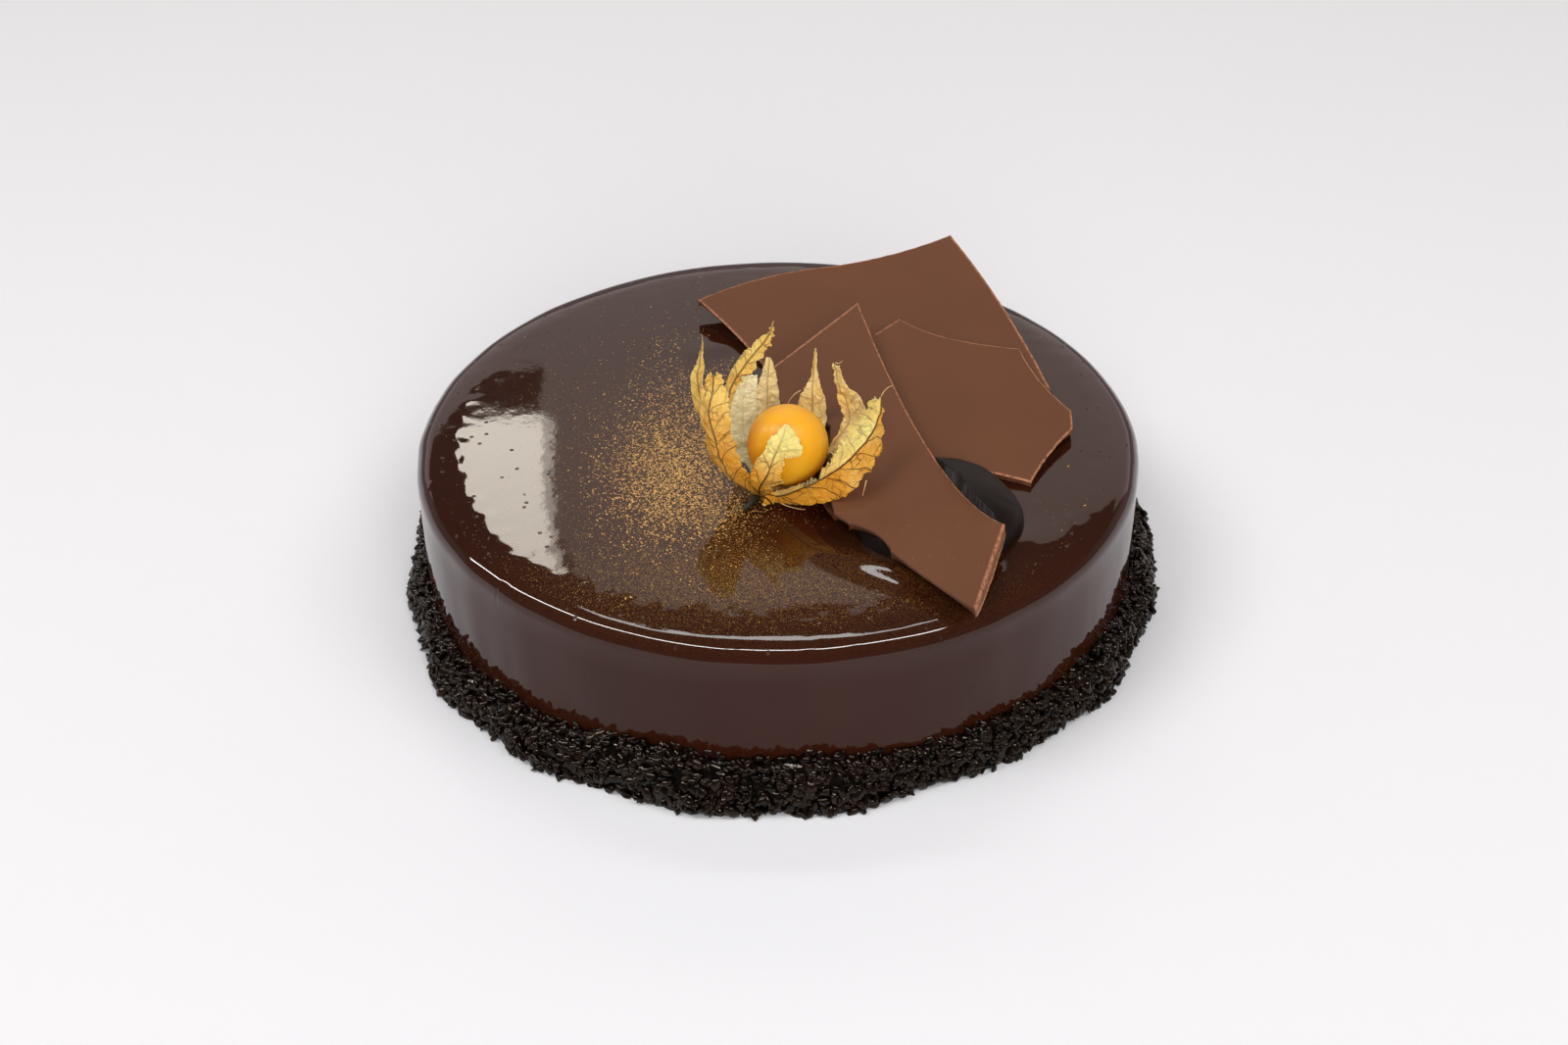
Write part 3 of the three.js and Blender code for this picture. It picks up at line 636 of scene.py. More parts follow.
def glaze_piece(material):
    """The cake's skin: its profile turned about the upright axis and pushed out along its own normals by
    the relief."""
    radius, height, tilt = glaze_profile()
    angle = full_turn(GLAZE_COLUMNS)
    plain = polar(radius, angle, height)
    outward = polar(np.cos(tilt), angle, np.sin(tilt))
    relief = glaze_relief(plain, radius, np.clip(np.cos(tilt), 0, 1))
    relief *= plain[..., 2] > 0
    points, faces = turned_surface(plain + outward * relief[..., None])
    haze = sum(amount * patch(points, middle, spread) for amount, middle, spread in DUST_HAZE)
    # Painted shade: the tint of fine dust is faded out in front of the husk, so the glaze is darker where
    # the husk's shadow falls
    haze *= 1 - patch(points, *DUST_LEE_AND_SHADE[:2])
    haze *= np.clip((points[:, 2] - CAKE_HEIGHT + HAZE_DEPTH) / HAZE_FADE, 0, 1)
    return make_piece("glaze_skin", points, faces, material, ["glazed_cake"], values={"haze": haze})


# Flake collar

def wandering(mean, waves_round, angle):
    """A mean plus waves round the cake."""
    return mean + sum(size * np.cos(count * angle - math.radians(turn)) for count, size, turn in waves_round)


def collar_slope(angle, share):
    """A point on the collar's slope, a quarter ellipse: share 0 is the foot's outer edge and 1 the top."""
    swing = share * math.pi / 2
    radius = CAKE_RADIUS + wandering(COLLAR_REACH, COLLAR_REACH_WAVES, angle) * np.cos(swing)
    return polar(radius, angle, wandering(COLLAR_TOP, COLLAR_TOP_WAVES, angle) * np.sin(swing))


def collar_core(material):
    """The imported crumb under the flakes: the slope drawn in by a little and made bumpy, with a flat foot
    and an upright back, closed round the cake."""
    angle = full_turn(COLLAR_COLUMNS)
    slope = collar_slope(angle, np.linspace(0, 1, COLLAR_SLOPE_ROWS)[:, None])
    drawn_in = CORE_INSET + waves(slope, *CORE_BUMPS)
    slope += unit(polar(CAKE_RADIUS, angle, 0) - slope) * drawn_in[..., None]
    slope[0, :, 2] = 0
    slope[..., 2] = np.maximum(slope[..., 2], 0)
    inner = polar(CAKE_RADIUS - CORE_BACK, angle, 0)
    grid = np.concatenate([inner[None], slope, (inner + slope[-1] * [0, 0, 1])[None], inner[None]])
    faces = [grid_quads(len(grid), COLLAR_COLUMNS, wrap=True)]
    return make_piece("collar_core", grid.reshape(-1, 3), faces, material, ["flake_collar"])


def flake_shape():
    """One flake as a unit form: rings of points between two poles, a flat bean with blunt ends."""
    angle = full_turn(FLAKE_SIDES)
    along, girth = np.array(FLAKE_RINGS).T[..., None]
    rings = np.stack(np.broadcast_arrays(along, girth * np.cos(angle), girth * np.sin(angle)), -1)
    points = np.concatenate([rings.reshape(-1, 3), FLAKE_POLES])
    first = np.arange(FLAKE_SIDES)
    count = len(FLAKE_RINGS) * FLAKE_SIDES
    ends = [fan(count, first, inward=True), fan(count + 1, first + count - FLAKE_SIDES)]
    return points, [grid_quads(len(FLAKE_RINGS), FLAKE_SIDES, wrap=True)] + ends


def scattered(centres, lengthwise, thin, sizes, seed):
    """Flakes at many places: the unit form is made uneven, stretched by length, width and thickness, bent
    along its length and turned to its own axes."""
    draw = np.random.default_rng(seed)
    shape, faces = flake_shape()
    count = len(centres)
    forms = shape[None] * (1 + FLAKE_UNEVEN * draw.uniform(-1, 1, (count, len(shape), 1)))
    bend = draw.uniform(-FLAKE_BEND, FLAKE_BEND, (count, 1))
    forms = forms * (sizes / 2)[:, None, :]
    forms[..., 2] += bend * (forms[..., 0] ** 2) / sizes[:, :1]
    across = np.cross(thin, lengthwise)
    points = centres[:, None] + forms[..., :1] * lengthwise[:, None] + forms[..., 1:2] * across[:, None]
    points = points + forms[..., 2:] * thin[:, None]
    offsets = np.arange(count)[:, None, None] * len(shape)
    return points.reshape(-1, 3), [(part[None] + offsets).reshape(-1, part.shape[1]) for part in faces]


def collar_flakes(name, count, lengths, seed, material):
    """Flakes spread over the slope: a random angle and share, an outward lean and a random turn for each,
    a few of them above the slope's top and at its outer foot."""
    draw = np.random.default_rng(seed)
    angle = draw.uniform(0, 2 * math.pi, count)
    share = draw.beta(*FLAKE_SPREAD, count) * FLAKE_PAST_TOP
    at_foot = share[::FLAKE_FOOT_STEP]
    at_foot[:] = draw.uniform(-FLAKE_FOOT_SHARE, FLAKE_FOOT_SHARE, len(at_foot))
    place = collar_slope(angle, np.clip(share, 0, 1))
    lean = unit(place - polar(CAKE_RADIUS, angle, 0) + TINY)
    place[:, 2] += np.maximum(share - 1, 0) * FLAKE_RISE
    length = draw.uniform(*lengths, count)
    width = length * draw.uniform(*FLAKE_WIDTH, count)
    thickness = length * draw.uniform(*FLAKE_THICKNESS, count)
    thin = unit(lean + draw.normal(0, FLAKE_TUMBLE, (count, 3)))
    lengthwise = unit(np.cross(thin, unit(draw.normal(0, 1, (count, 3)))))
    place += lean * draw.uniform(*FLAKE_STAND, count)[:, None]
    reach = (np.abs(lengthwise[:, 2]) * length + np.abs(thin[:, 2]) * thickness) / 2
    place[:, 2] = np.maximum(place[:, 2], reach * FLAKE_REST)
    sizes = np.stack([length, width, thickness], -1)
    points, faces = scattered(place, lengthwise, thin, sizes, seed + 1)
    points[:, 2] = np.maximum(points[:, 2], 0)
    tone = np.repeat(draw.uniform(0, 1, count), len(points) // count)
    return make_piece(name, points, faces, material, ["flake_collar"], values={"tone": tone})


# Chocolate shards

def shard_outline(corners):
    """A shard's outline, how far its foot stands out at each point, and whether that edge's foot stands
    far in: each edge is a quadratic curve pulled square to its chord."""
    share = np.linspace(0, 1, SHARD_EDGE_STEPS, endpoint=False)[:, None]
    outline, splay, deep = [], [], []
    for (x, y, bow, skew, stand), after in zip(corners, corners[1:] + corners[:1]):
        start, end = np.array([x, y], float), np.array(after[:2], float)
        chord = end - start
        inward = np.array([chord[1], -chord[0]]) / np.linalg.norm(chord)
        pull = start + chord * skew + inward * 2 * bow
        outline.append((1 - share) ** 2 * start + 2 * share * (1 - share) * pull + share ** 2 * end)
        splay.append(stand * np.sin(math.pi * share[:, 0]) ** SHARD_SPLAY_POWER)
        deep.append(np.full(len(share), stand < SHARD_SHADE_UNDERCUT))
    return np.concatenate(outline), np.concatenate(splay), np.concatenate(deep)


def shard_turn(shard):
    """The matrix that tilts a shard about X and Y, and its plane's height on the cake's axis."""
    tilt_x, tilt_y = (math.radians(value) for value in shard["tilt"])
    turn = np.array(Matrix.Rotation(tilt_x, 3, "X") @ Matrix.Rotation(tilt_y, 3, "Y"))
    return turn, CAKE_HEIGHT + shard["axis_height"]


def shard_rings(outline, splay, seed):
    """Rings round a shard's outline from its top to its underside, each with how strong the pale edge line
    is there, partly paler broken chocolate and partly a painted highlight: a narrow border on top, a small
    round at both rims and an uneven broken side between them."""
    along = np.roll(outline, -1, 0) - np.roll(outline, 1, 0)
    inward = unit(np.stack([along[:, 1], -along[:, 0]], -1))
    height, size = SHARD_OUTLINE_GRAIN
    outline = outline + inward * waves(at_height(outline, 0), height, size, seed)[:, None]
    swing = np.linspace(0, math.pi / 2, SHARD_RIM_ROWS)
    rim = list(zip(SHARD_BEVEL * (1 - np.sin(swing)), SHARD_BEVEL * (1 - np.cos(swing))))
    border = outline + inward * SHARD_BEVEL
    border = border + (border.mean(0) - border) * SHARD_LINE
    rings = [(at_height(border, SHARD_THICKNESS), 0)]
    for step, drop in rim:
        rings.append((at_height(outline + inward * step, SHARD_THICKNESS - drop), SHARD_LINE_SCUFF_AND_HIGHLIGHT))
    height, size = SHARD_SIDE_GRAIN
    for down in np.linspace(SHARD_BEVEL, SHARD_THICKNESS - SHARD_BEVEL, SHARD_SIDE_ROWS)[1:-1]:
        rough = waves(at_height(outline, SHARD_SIDE_CHANGE * down), height, size, seed + 1)
        out = splay * down / SHARD_THICKNESS + rough
        rings.append((at_height(outline - inward * out[:, None], SHARD_THICKNESS - down), SHARD_SIDE_TONE))
    foot = outline - inward * splay[:, None]
    for step, drop in rim[::-1]:
        rings.append((at_height(foot + inward * step, drop), float(step < SHARD_BEVEL)))
    return rings


def shard_piece(name, material, seed):
    """A plate: its rings, closed by one flat face on each side and tilted into place."""
    shard = SHARDS[name]
    outline, splay, deep = shard_outline(shard["corners"])
    rings, edge = zip(*shard_rings(outline, splay, seed))
    turn, height = shard_turn(shard)
    points = np.concatenate(rings) @ turn.T + [0, 0, height]
    count = len(outline)
    ring = np.arange(count)
    top, underside = ring[None, ::-1], ring[None] + count * (len(rings) - 1)
    faces = [grid_quads(len(rings), count, wrap=True), top, underside]
    # Edge marks: the pale line, partly broken chocolate and partly a painted highlight, turns into painted
    # shade where an edge's foot stands far in
    marks = np.outer(edge, np.where(deep, SHARD_LINE_PAINTED_SHADE, 1)).ravel()
    piece = make_piece(name + "_plate", points, faces, material, [name], values={"edge": marks})
    for cap in (-1, -2):
        piece.data.polygons[cap].use_smooth = False
    return piece


def shard_underside(name, x, y):
    """Height of a shard's underside over a place, from its tilted plane, and whether the place is below
    it: a line from there along X then crosses the outline an odd number of times."""
    shard = SHARDS[name]
    turn, height = shard_turn(shard)
    normal = turn[:, 2]
    level = height - (normal[0] * x + normal[1] * y) / normal[2]
    start, _, _ = shard_outline(shard["corners"])
    end = np.roll(start, -1, 0)
    crossing = (start[:, 1] > y[..., None]) != (end[:, 1] > y[..., None])
    slope = (end[:, 0] - start[:, 0]) / (end[:, 1] - start[:, 1] + TINIEST)
    crossing &= x[..., None] < start[:, 0] + slope * (y[..., None] - start[:, 1])
    return level, crossing.sum(-1) % 2 == 1


# Ganache

def dollop(at, radius, height, creases):
    """A full dome whose radius shrinks by a power of the cosine of the swing, creased round its own axis
    with creases that lean with height, and pressed flat where a shard lies on it."""
    swing = np.linspace(0, math.pi / 2, DOLLOP_ROWS)[:-1, None]
    angle = full_turn(DOLLOP_COLUMNS)
    lean = angle * creases + DOLLOP_TWIST * np.sin(swing)
    crease = bell(np.sin(lean / 2), DOLLOP_CREASE_WIDTH) * np.sin(2 * swing)
    fold = DOLLOP_WAVE * np.cos(lean) - DOLLOP_CREASE * crease
    rise = (height + DOLLOP_SINK + DOLLOP_PROUD) * np.sin(swing) - DOLLOP_SINK
    points = polar(radius * np.cos(swing) ** DOLLOP_FULLNESS * (1 + fold), angle, CAKE_HEIGHT + rise)
    points += [*at, 0]
    x, y, z = np.moveaxis(points, -1, 0)
    for name in SHARDS:
        level, below = shard_underside(name, x, y)
        z[below] = np.minimum(z, level - DOLLOP_GAP)[below]
    return turned_surface(points)


def ganache_piece(node, material):
    """One dollop."""
    points, faces = dollop(**DOLLOPS[node])
    return make_piece(node + "_swirl", points, faces, material, [node])


# Physalis

def berry_piece(material):
    """A ball with a soft dimple at the stem end and a very slight waviness."""
    swing = np.linspace(-math.pi / 2, math.pi / 2, BERRY_ROWS + 2)[1:-1, None]
    ray = polar(np.cos(swing), full_turn(BERRY_COLUMNS), np.sin(swing))
    depth, spread = BERRY_DIMPLE
    dimple = depth * np.exp((ray @ unit(HUSK_BASE - BERRY_AT) - 1) / spread)
    reach = BERRY_RADIUS * (1 - dimple + waves(ray, *BERRY_WAVE))
    points, faces = turned_surface(BERRY_AT + ray * reach[..., None])
    return make_piece("berry_skin", points, faces, material, ["physalis_berry"])


def around_berry(turn, reach, rise):
    """A point from its turn about the berry's upright axis, its reach from it and its rise above the
    glaze."""
    return BERRY_AT * [1, 1, 0] + polar(reach, math.radians(turn), CAKE_HEIGHT + rise)


def compass(turn, lift):
    """A direction from its compass turn and its lift above level, in degrees."""
    lift = math.radians(lift)
    return polar(math.cos(lift), math.radians(turn), math.sin(lift))


def smooth_line(values, share):
    """A smooth curve through evenly spaced values: on each stretch a cubic whose slope at both ends is
    half the step between the neighbours."""
    values = np.asarray(values, float)
    spots = np.clip(share, 0, 1) * (len(values) - 1)
    first = np.minimum(spots.astype(int), len(values) - 2)
    part = spots - first
    if values.ndim > 1:
        part = part[..., None]
    padded = np.concatenate([[2 * values[0] - values[1]], values, [2 * values[-1] - values[-2]]])
    before, start, end, after = (padded[first + step] for step in range(4))
    bend = 2 * before - 5 * start + 4 * end - after + part * (3 * (start - end) + after - before)
    return start + 0.5 * part * (end - before + part * bend)


def petal(shape, seed):
    """A petal as a grid of along and across: points on a smooth midrib, moved sideways by a half width
    and bent back by the fold, which sets in softly beside the midrib. Noise crumples the sheet, with
    sharp creases, and frays its edges and its end. It stays clear of the glaze, the berry and the shard.
    Its map has the true lengths along and across, and its paleness goes from base to tip, with one half made
    paler where given, which is painted light."""
    path = np.array([HUSK_BASE] + [around_berry(*spot) for spot in shape["path"]])
    length = np.linalg.norm(np.diff(path, axis=0), axis=-1).sum()
    across = np.linspace(-1, 1, PETAL_COLUMNS)[None, :]
    share = np.linspace(0, 1, PETAL_ROWS)[:, None]
    left = across < 0
    tip = np.where(left, shape["clock"][-1], shape["counter"][-1]) * across
    end = np.stack([tip, 0 * tip, 0 * tip], -1)
    along = share * (1 - shape["torn"] / length * (FRAY_MEAN + layered(end, FRAY, seed)))
    middle = smooth_line(path, along)
    forward = unit(smooth_line(path, along + MIDRIB_STEP) - smooth_line(path, along - MIDRIB_STEP))
    outward = smooth_line([compass(*pair) for pair in shape["facing"]], along)
    outward = unit(outward - (outward * forward).sum(-1, keepdims=True) * forward)
    sideways = np.cross(forward, outward)
    rim = np.stack(np.broadcast_arrays(along * length, EDGE_APART * np.sign(across), 0.0), -1)
    ragged = layered(rim, RAGGED, seed, sharp=True) * np.minimum(along / RAGGED_FULL, 1)
    half = np.where(left, smooth_line(shape["clock"], along), smooth_line(shape["counter"], along))
    half = np.maximum(half - np.where(left, *shape["tear"]) * ragged, PETAL_EDGE)
    reach = half * np.abs(across)
    fold = np.radians(np.where(left, *shape["fold"])) * reach / (reach + PETAL_FOLD_SOFTNESS)
    flat = np.stack([along * length, reach * np.sign(across), 0 * reach], -1)
    crumple = CREASE_DEPTH * (CREASE_MEAN - layered(flat, CREASES, seed, sharp=True))
    crumple += layered(flat, CRUMPLE, seed) + across ** 2 * layered(rim, EDGE_WAVE, seed)
    crumple *= np.minimum(along / CRUMPLE_FULL, 1)
    points = middle + sideways * (np.sign(across) * reach * np.cos(fold))[..., None]
    points = points + outward * (crumple - reach * np.sin(fold))[..., None]
    level, over = shard_underside("chocolate_shard_front", points[..., 0], points[..., 1])
    floor = np.where(over, level + SHARD_THICKNESS, CAKE_HEIGHT) + PETAL_CLEARANCE
    points[..., 2] = np.maximum(points[..., 2], floor)
    away = points - BERRY_AT
    near = (BERRY_RADIUS + PETAL_CLEARANCE) / np.linalg.norm(away, axis=-1, keepdims=True)
    points = BERRY_AT + away * np.maximum(near, 1)
    uv = flat[..., :2] / PETAL_SCALE + [0, 0.5]
    base, tip = shape["pale"]
    # One half may be made paler: painted light on the side that faces the light
    pale = base + (tip - base) * along + np.where(left, *shape.get("bleach_and_painted_light", (0, 0)))
    return points, uv, pale


def tube(bends, radius, sides):
    """A thin tube along the Bezier curve of its bends, tapering to its end: a ring of points about each
    place on the curve."""
    share = np.linspace(0, 1, TUBE_ROWS)[:, None]
    last = len(bends) - 1
    path = sum(math.comb(last, step) * share ** step * (1 - share) ** (last - step) * np.asarray(bend, float)
               for step, bend in enumerate(bends))
    forward = unit(np.gradient(path, axis=0))
    side = unit(np.cross(forward, TUBE_ASIDE))
    other = np.cross(forward, side)
    angle = full_turn(sides)[None, :, None]
    girth = radius * (1 - TUBE_TAPER * share)[:, None]
    ring = np.cos(angle) * side[:, None] + np.sin(angle) * other[:, None]
    return turned_surface(path[:, None] + girth * ring)


def husk_pieces(outer, inner, dry, stem):
    """The petals as one thin sheet each, joined and thickened, the dry threads at their edges and the
    stem."""
    petals = [petal(shape, PETAL_SEED + SEED_STEP * index) for index, shape in enumerate(PETALS.values())]
    grids, maps, tones = zip(*petals)
    points, faces = joined([(grid.reshape(-1, 3), [grid_quads(*grid.shape[:2])]) for grid in grids])
    uv = np.concatenate([part.reshape(-1, 2) for part in maps])
    pale = np.concatenate([part.ravel() for part in tones])
    sheet = make_piece("husk_petals", points, faces, outer, ["physalis_husk"], uv=uv,
                       values={"pale": pale})
    sheet.data.materials.append(inner)
    wall = sheet.modifiers.new("thickness", "SOLIDIFY")
    wall.thickness = PETAL_THICKNESS * MM
    wall.offset = 0
    wall.material_offset = 1
    wall.material_offset_rim = 1
    threads = [[around_berry(*spot) for spot in thread] for thread in HUSK_THREADS]
    points, faces = joined([tube(thread, THREAD_RADIUS, THREAD_SIDES) for thread in threads])
    make_piece("husk_threads", points, faces, dry, ["physalis_husk"])
    points, faces = tube(STEM_BENDS, STEM_RADIUS, STEM_SIDES)
    make_piece("husk_stem", points, faces, stem, ["physalis_husk"])


# Gold dust

def dust_places(draw):
    """Places and sizes of the specks: random places about each drift's middle, thinned in front of the
    husk and on the shards, and a few on the front of the collar."""
    drifts, sizes = [], []
    for count, reach, middle, spread in DUST_DRIFTS:
        drifts.append(draw.normal(0, 1, (count, 2)) * spread + middle)
        sizes.append(reach[0] + (reach[1] - reach[0]) * draw.uniform(0, 1, count) ** DUST_SIZE_POWER)
    flat = np.concatenate(drifts + [np.array(DUST_SINGLES)])
    size = np.concatenate(sizes + [np.full(len(DUST_SINGLES), DUST_SINGLE_REACH)])
    radius = np.hypot(*flat.T)
    level = CAKE_HEIGHT - glaze_fall(radius)
    kept = radius < RIM_FROM
    middle, spread, left = DUST_LEE_AND_SHADE
    kept &= draw.uniform(0, 1, len(flat)) > (1 - left) * patch(flat, middle, spread)
    for name in SHARDS:
        underside, over = shard_underside(name, *flat.T)
        level = np.where(over, underside + SHARD_THICKNESS, level)
        kept &= ~over | (draw.uniform(0, 1, len(flat)) < DUST_ON_SHARD)
    count, angles, shares, reach = DUST_COLLAR
    slope = collar_slope(np.radians(draw.normal(*angles, count)), draw.uniform(*shares, count))
    places = np.concatenate([np.column_stack([flat, level])[kept], slope + [0, 0, DUST_COLLAR_LIFT]])
    return places, np.concatenate([size[kept], draw.uniform(*reach, count)])[:, None]


def gold_dust(material):
    """Every speck is a small four-faced flake with its own size, turn and lean: three corners about its
    place and a low peak above it."""
    draw = np.random.default_rng(DUST_SEED)
    places, size = dust_places(draw)
    count = len(places)
    angle = draw.uniform(0, 2 * math.pi, (count, 1)) + DUST_CORNERS
    angle = angle + draw.uniform(-DUST_CORNER_WANDER, DUST_CORNER_WANDER, (count, 3))
    reach = size * draw.uniform(*DUST_CORNER_REACH, (count, 3))
    lean = draw.uniform(0, DUST_STAND, (count, 3)) * size
    feet = places[:, None] + polar(reach, angle, lean)
    peak = places + (DUST_STAND * size + DUST_LEAST_STAND) * [0, 0, 1]
    points = np.concatenate([feet, peak[:, None]], 1).reshape(-1, 3)
    corners = np.array([[0, 1, 3], [1, 2, 3], [2, 0, 3], [0, 2, 1]])
    faces = (corners[None] + 4 * np.arange(count)[:, None, None]).reshape(-1, 3)
    return make_piece("gold_dust", points, [faces], material, smooth=False)


# Materials

class Wiring:
    """Adds nodes to one node tree and joins their sockets."""

    def __init__(self, tree):
        self.tree = tree

    def add(self, kind, inputs=None, **settings):
        """A node with its settings, whose inputs are given values or linked to sockets."""
        node = self.tree.nodes.new(kind)
        for name, value in settings.items():
            setattr(node, name, value)
        for name, value in (inputs or {}).items():
            socket = node.inputs[name]
            if isinstance(value, bpy.types.NodeSocket):
                self.tree.links.new(value, socket)
            else:
                socket.default_value = value
        return node

    def math(self, operation, *operands, clamp=False):
        """One sum on values or sockets."""
        inputs = dict(enumerate(operands))
        return self.add("ShaderNodeMath", inputs, operation=operation, use_clamp=clamp).outputs[0]

    def vector(self, operation, *operands):
        """One sum on vectors or sockets."""
        return self.add("ShaderNodeVectorMath", dict(enumerate(operands)), operation=operation).outputs[0]

    def ramp(self, value, low, high):
        """A smooth step from 0 at low to 1 at high."""
        inputs = {"Value": value, "From Min": low, "From Max": high}
        return self.add("ShaderNodeMapRange", inputs, interpolation_type="SMOOTHSTEP").outputs["Result"]

    def fall(self, value, low, high):
        """A smooth step from 1 at low to 0 at high."""
        return self.math("SUBTRACT", 1.0, self.ramp(value, low, high))

    def mix(self, share, first, second):
        """A blend of two colours."""
        return self.add("ShaderNodeMix", {0: share, 6: first, 7: second}, data_type="RGBA").outputs[2]

    def noise(self, vector, scale, detail=3.0, output="Fac"):
        """Noise of a size given as features per unit of the vector."""
        inputs = {"Vector": vector, "Scale": scale, "Detail": detail}
        return self.add("ShaderNodeTexNoise", inputs).outputs[output]

    def cells(self, vector, scale, **settings):
        """Distance within irregular cells of a size given as cells per unit of the vector."""
        inputs = {"Vector": vector, "Scale": scale}
        return self.add("ShaderNodeTexVoronoi", inputs, **settings).outputs["Distance"]

    def parts(self, vector):
        """The three parts of a vector."""
        return self.add("ShaderNodeSeparateXYZ", {0: vector}).outputs


def new_group(name, inputs, outputs):
    """A node group with named inputs and outputs."""
    group = bpy.data.node_groups.new(name, "ShaderNodeTree")
    for label, kind in inputs:
        group.interface.new_socket(label, in_out="INPUT", socket_type=kind)
    for label, kind in outputs:
        group.interface.new_socket(label, in_out="OUTPUT", socket_type=kind)
    wiring = Wiring(group)
    return group, wiring, wiring.add("NodeGroupInput").outputs, wiring.add("NodeGroupOutput").inputs


def grain_group():
    """Slow clouding and fine grain over a surface, as two values: noise at two scales, in features per
    metre."""
    inputs = [("Place", "NodeSocketVector")]
    for label in ("Cloud Scale", "Cloud Detail", "Grain Scale", "Grain Detail"):
        inputs.append((label, "NodeSocketFloat"))
    outputs = [("Cloud", "NodeSocketFloat"), ("Grain", "NodeSocketFloat")]
    group, wiring, given, result = new_group("cloud_and_grain", inputs, outputs)
    for label in ("Cloud", "Grain"):
        value = wiring.noise(given["Place"], given[label + " Scale"], given[label + " Detail"])
        wiring.tree.links.new(value, result[label])
    return group


def vein_group():
    """Veins of a dry leaf from its own map of along and across: a midrib, curved side veins that leave it
    at a slant and a faint net of fine veins, as a mask. Noise bends the side veins, and finer noise the
    net."""
    inputs, outputs = [("Map", "NodeSocketVector")], [("Veins", "NodeSocketFloat")]
    group, wiring, given, result = new_group("leaf_veins", inputs, outputs)
    spread = wiring.vector("MULTIPLY", given["Map"], (PETAL_SCALE, PETAL_SCALE, 1))
    bent = [spread]
    for scale, push in VEIN_BENDS:
        warp = wiring.vector("SUBTRACT", wiring.noise(spread, scale, 1.0, "Color"), (0.5, 0.5, 0.5))
        bent.append(wiring.vector("MULTIPLY_ADD", warp, (push, push, 0), bent[-1]))
    midrib = 0.5 * PETAL_SCALE
    aside = wiring.math("ABSOLUTE", wiring.math("SUBTRACT", wiring.parts(spread)["Y"], midrib))
    rib = wiring.fall(aside, *MIDRIB_WIDTH)
    curve = wiring.math("POWER", aside, SIDE_VEIN_CURVE)
    slant = wiring.math("MULTIPLY_ADD", curve, SIDE_VEIN_SLANT, wiring.parts(bent[1])["X"])
    phase = wiring.math("FRACT", wiring.math("MULTIPLY", slant, 1 / SIDE_VEIN_SPACING))
    near = wiring.math("ABSOLUTE", wiring.math("SUBTRACT", phase, 0.5))
    side = wiring.math("MULTIPLY", wiring.fall(near, *SIDE_VEIN_WIDTH), SIDE_VEIN_STRENGTH)
    cells = wiring.cells(bent[2], NET_SCALE, feature="DISTANCE_TO_EDGE")
    patchy = wiring.ramp(wiring.noise(spread, NET_PATCH_SCALE, 2.0), *NET_PATCHES)
    net = wiring.math("MULTIPLY", wiring.fall(cells, *NET_WIDTH), patchy)
    veins = wiring.math("MAXIMUM", wiring.math("MAXIMUM", rib, side), net)
    wiring.tree.links.new(veins, result["Veins"])
    return group


CLOUD_AND_GRAIN = grain_group()
LEAF_VEINS = vein_group()


def srgb(red, green, blue):
    """A colour from display values of 0 to 255, as the linear values that shaders take."""
    share = np.array([red, green, blue]) / 255
    linear = np.where(share <= 0.04045, share / 12.92, ((share + 0.055) / 1.055) ** 2.4)
    return (*linear.tolist(), 1.0)


class Finish(Wiring):
    """A material with its shader, whose constant values are set on the shader's own sockets, and with its
    own clouding and grain, each a scale in features per metre and a detail."""

    def __init__(self, name, cloud=(100, 3.0), grain=(1500, 3.0), **values):
        self.material = bpy.data.materials.new(name)
        self.material.use_nodes = True
        super().__init__(self.material.node_tree)
        self.shader = self.tree.nodes["Principled BSDF"]
        for socket, value in values.items():
            self.shader.inputs[socket.replace("_", " ")].default_value = value
        self.place = self.add("ShaderNodeTexCoord").outputs["Object"]
        inputs = {"Place": self.place, "Cloud Scale": cloud[0], "Cloud Detail": cloud[1],
                  "Grain Scale": grain[0], "Grain Detail": grain[1]}
        uneven = self.add("ShaderNodeGroup", inputs, node_tree=CLOUD_AND_GRAIN).outputs
        self.cloud, self.grain = uneven["Cloud"], uneven["Grain"]

    def mark(self, name):
        """A value that the mesh holds for each point."""
        return self.add("ShaderNodeAttribute", attribute_name=name).outputs["Fac"]

    def bump(self, height, strength, distance):
        """A normal from a height."""
        inputs = {"Height": height, "Strength": strength, "Distance": distance}
        return self.add("ShaderNodeBump", inputs).outputs["Normal"]

    def done(self, **sockets):
        """The material, once sockets are joined to the shader's inputs of the same names."""
        for name, socket in sockets.items():
            self.tree.links.new(socket, self.shader.inputs[name.replace("_", " ")])
        return self.material


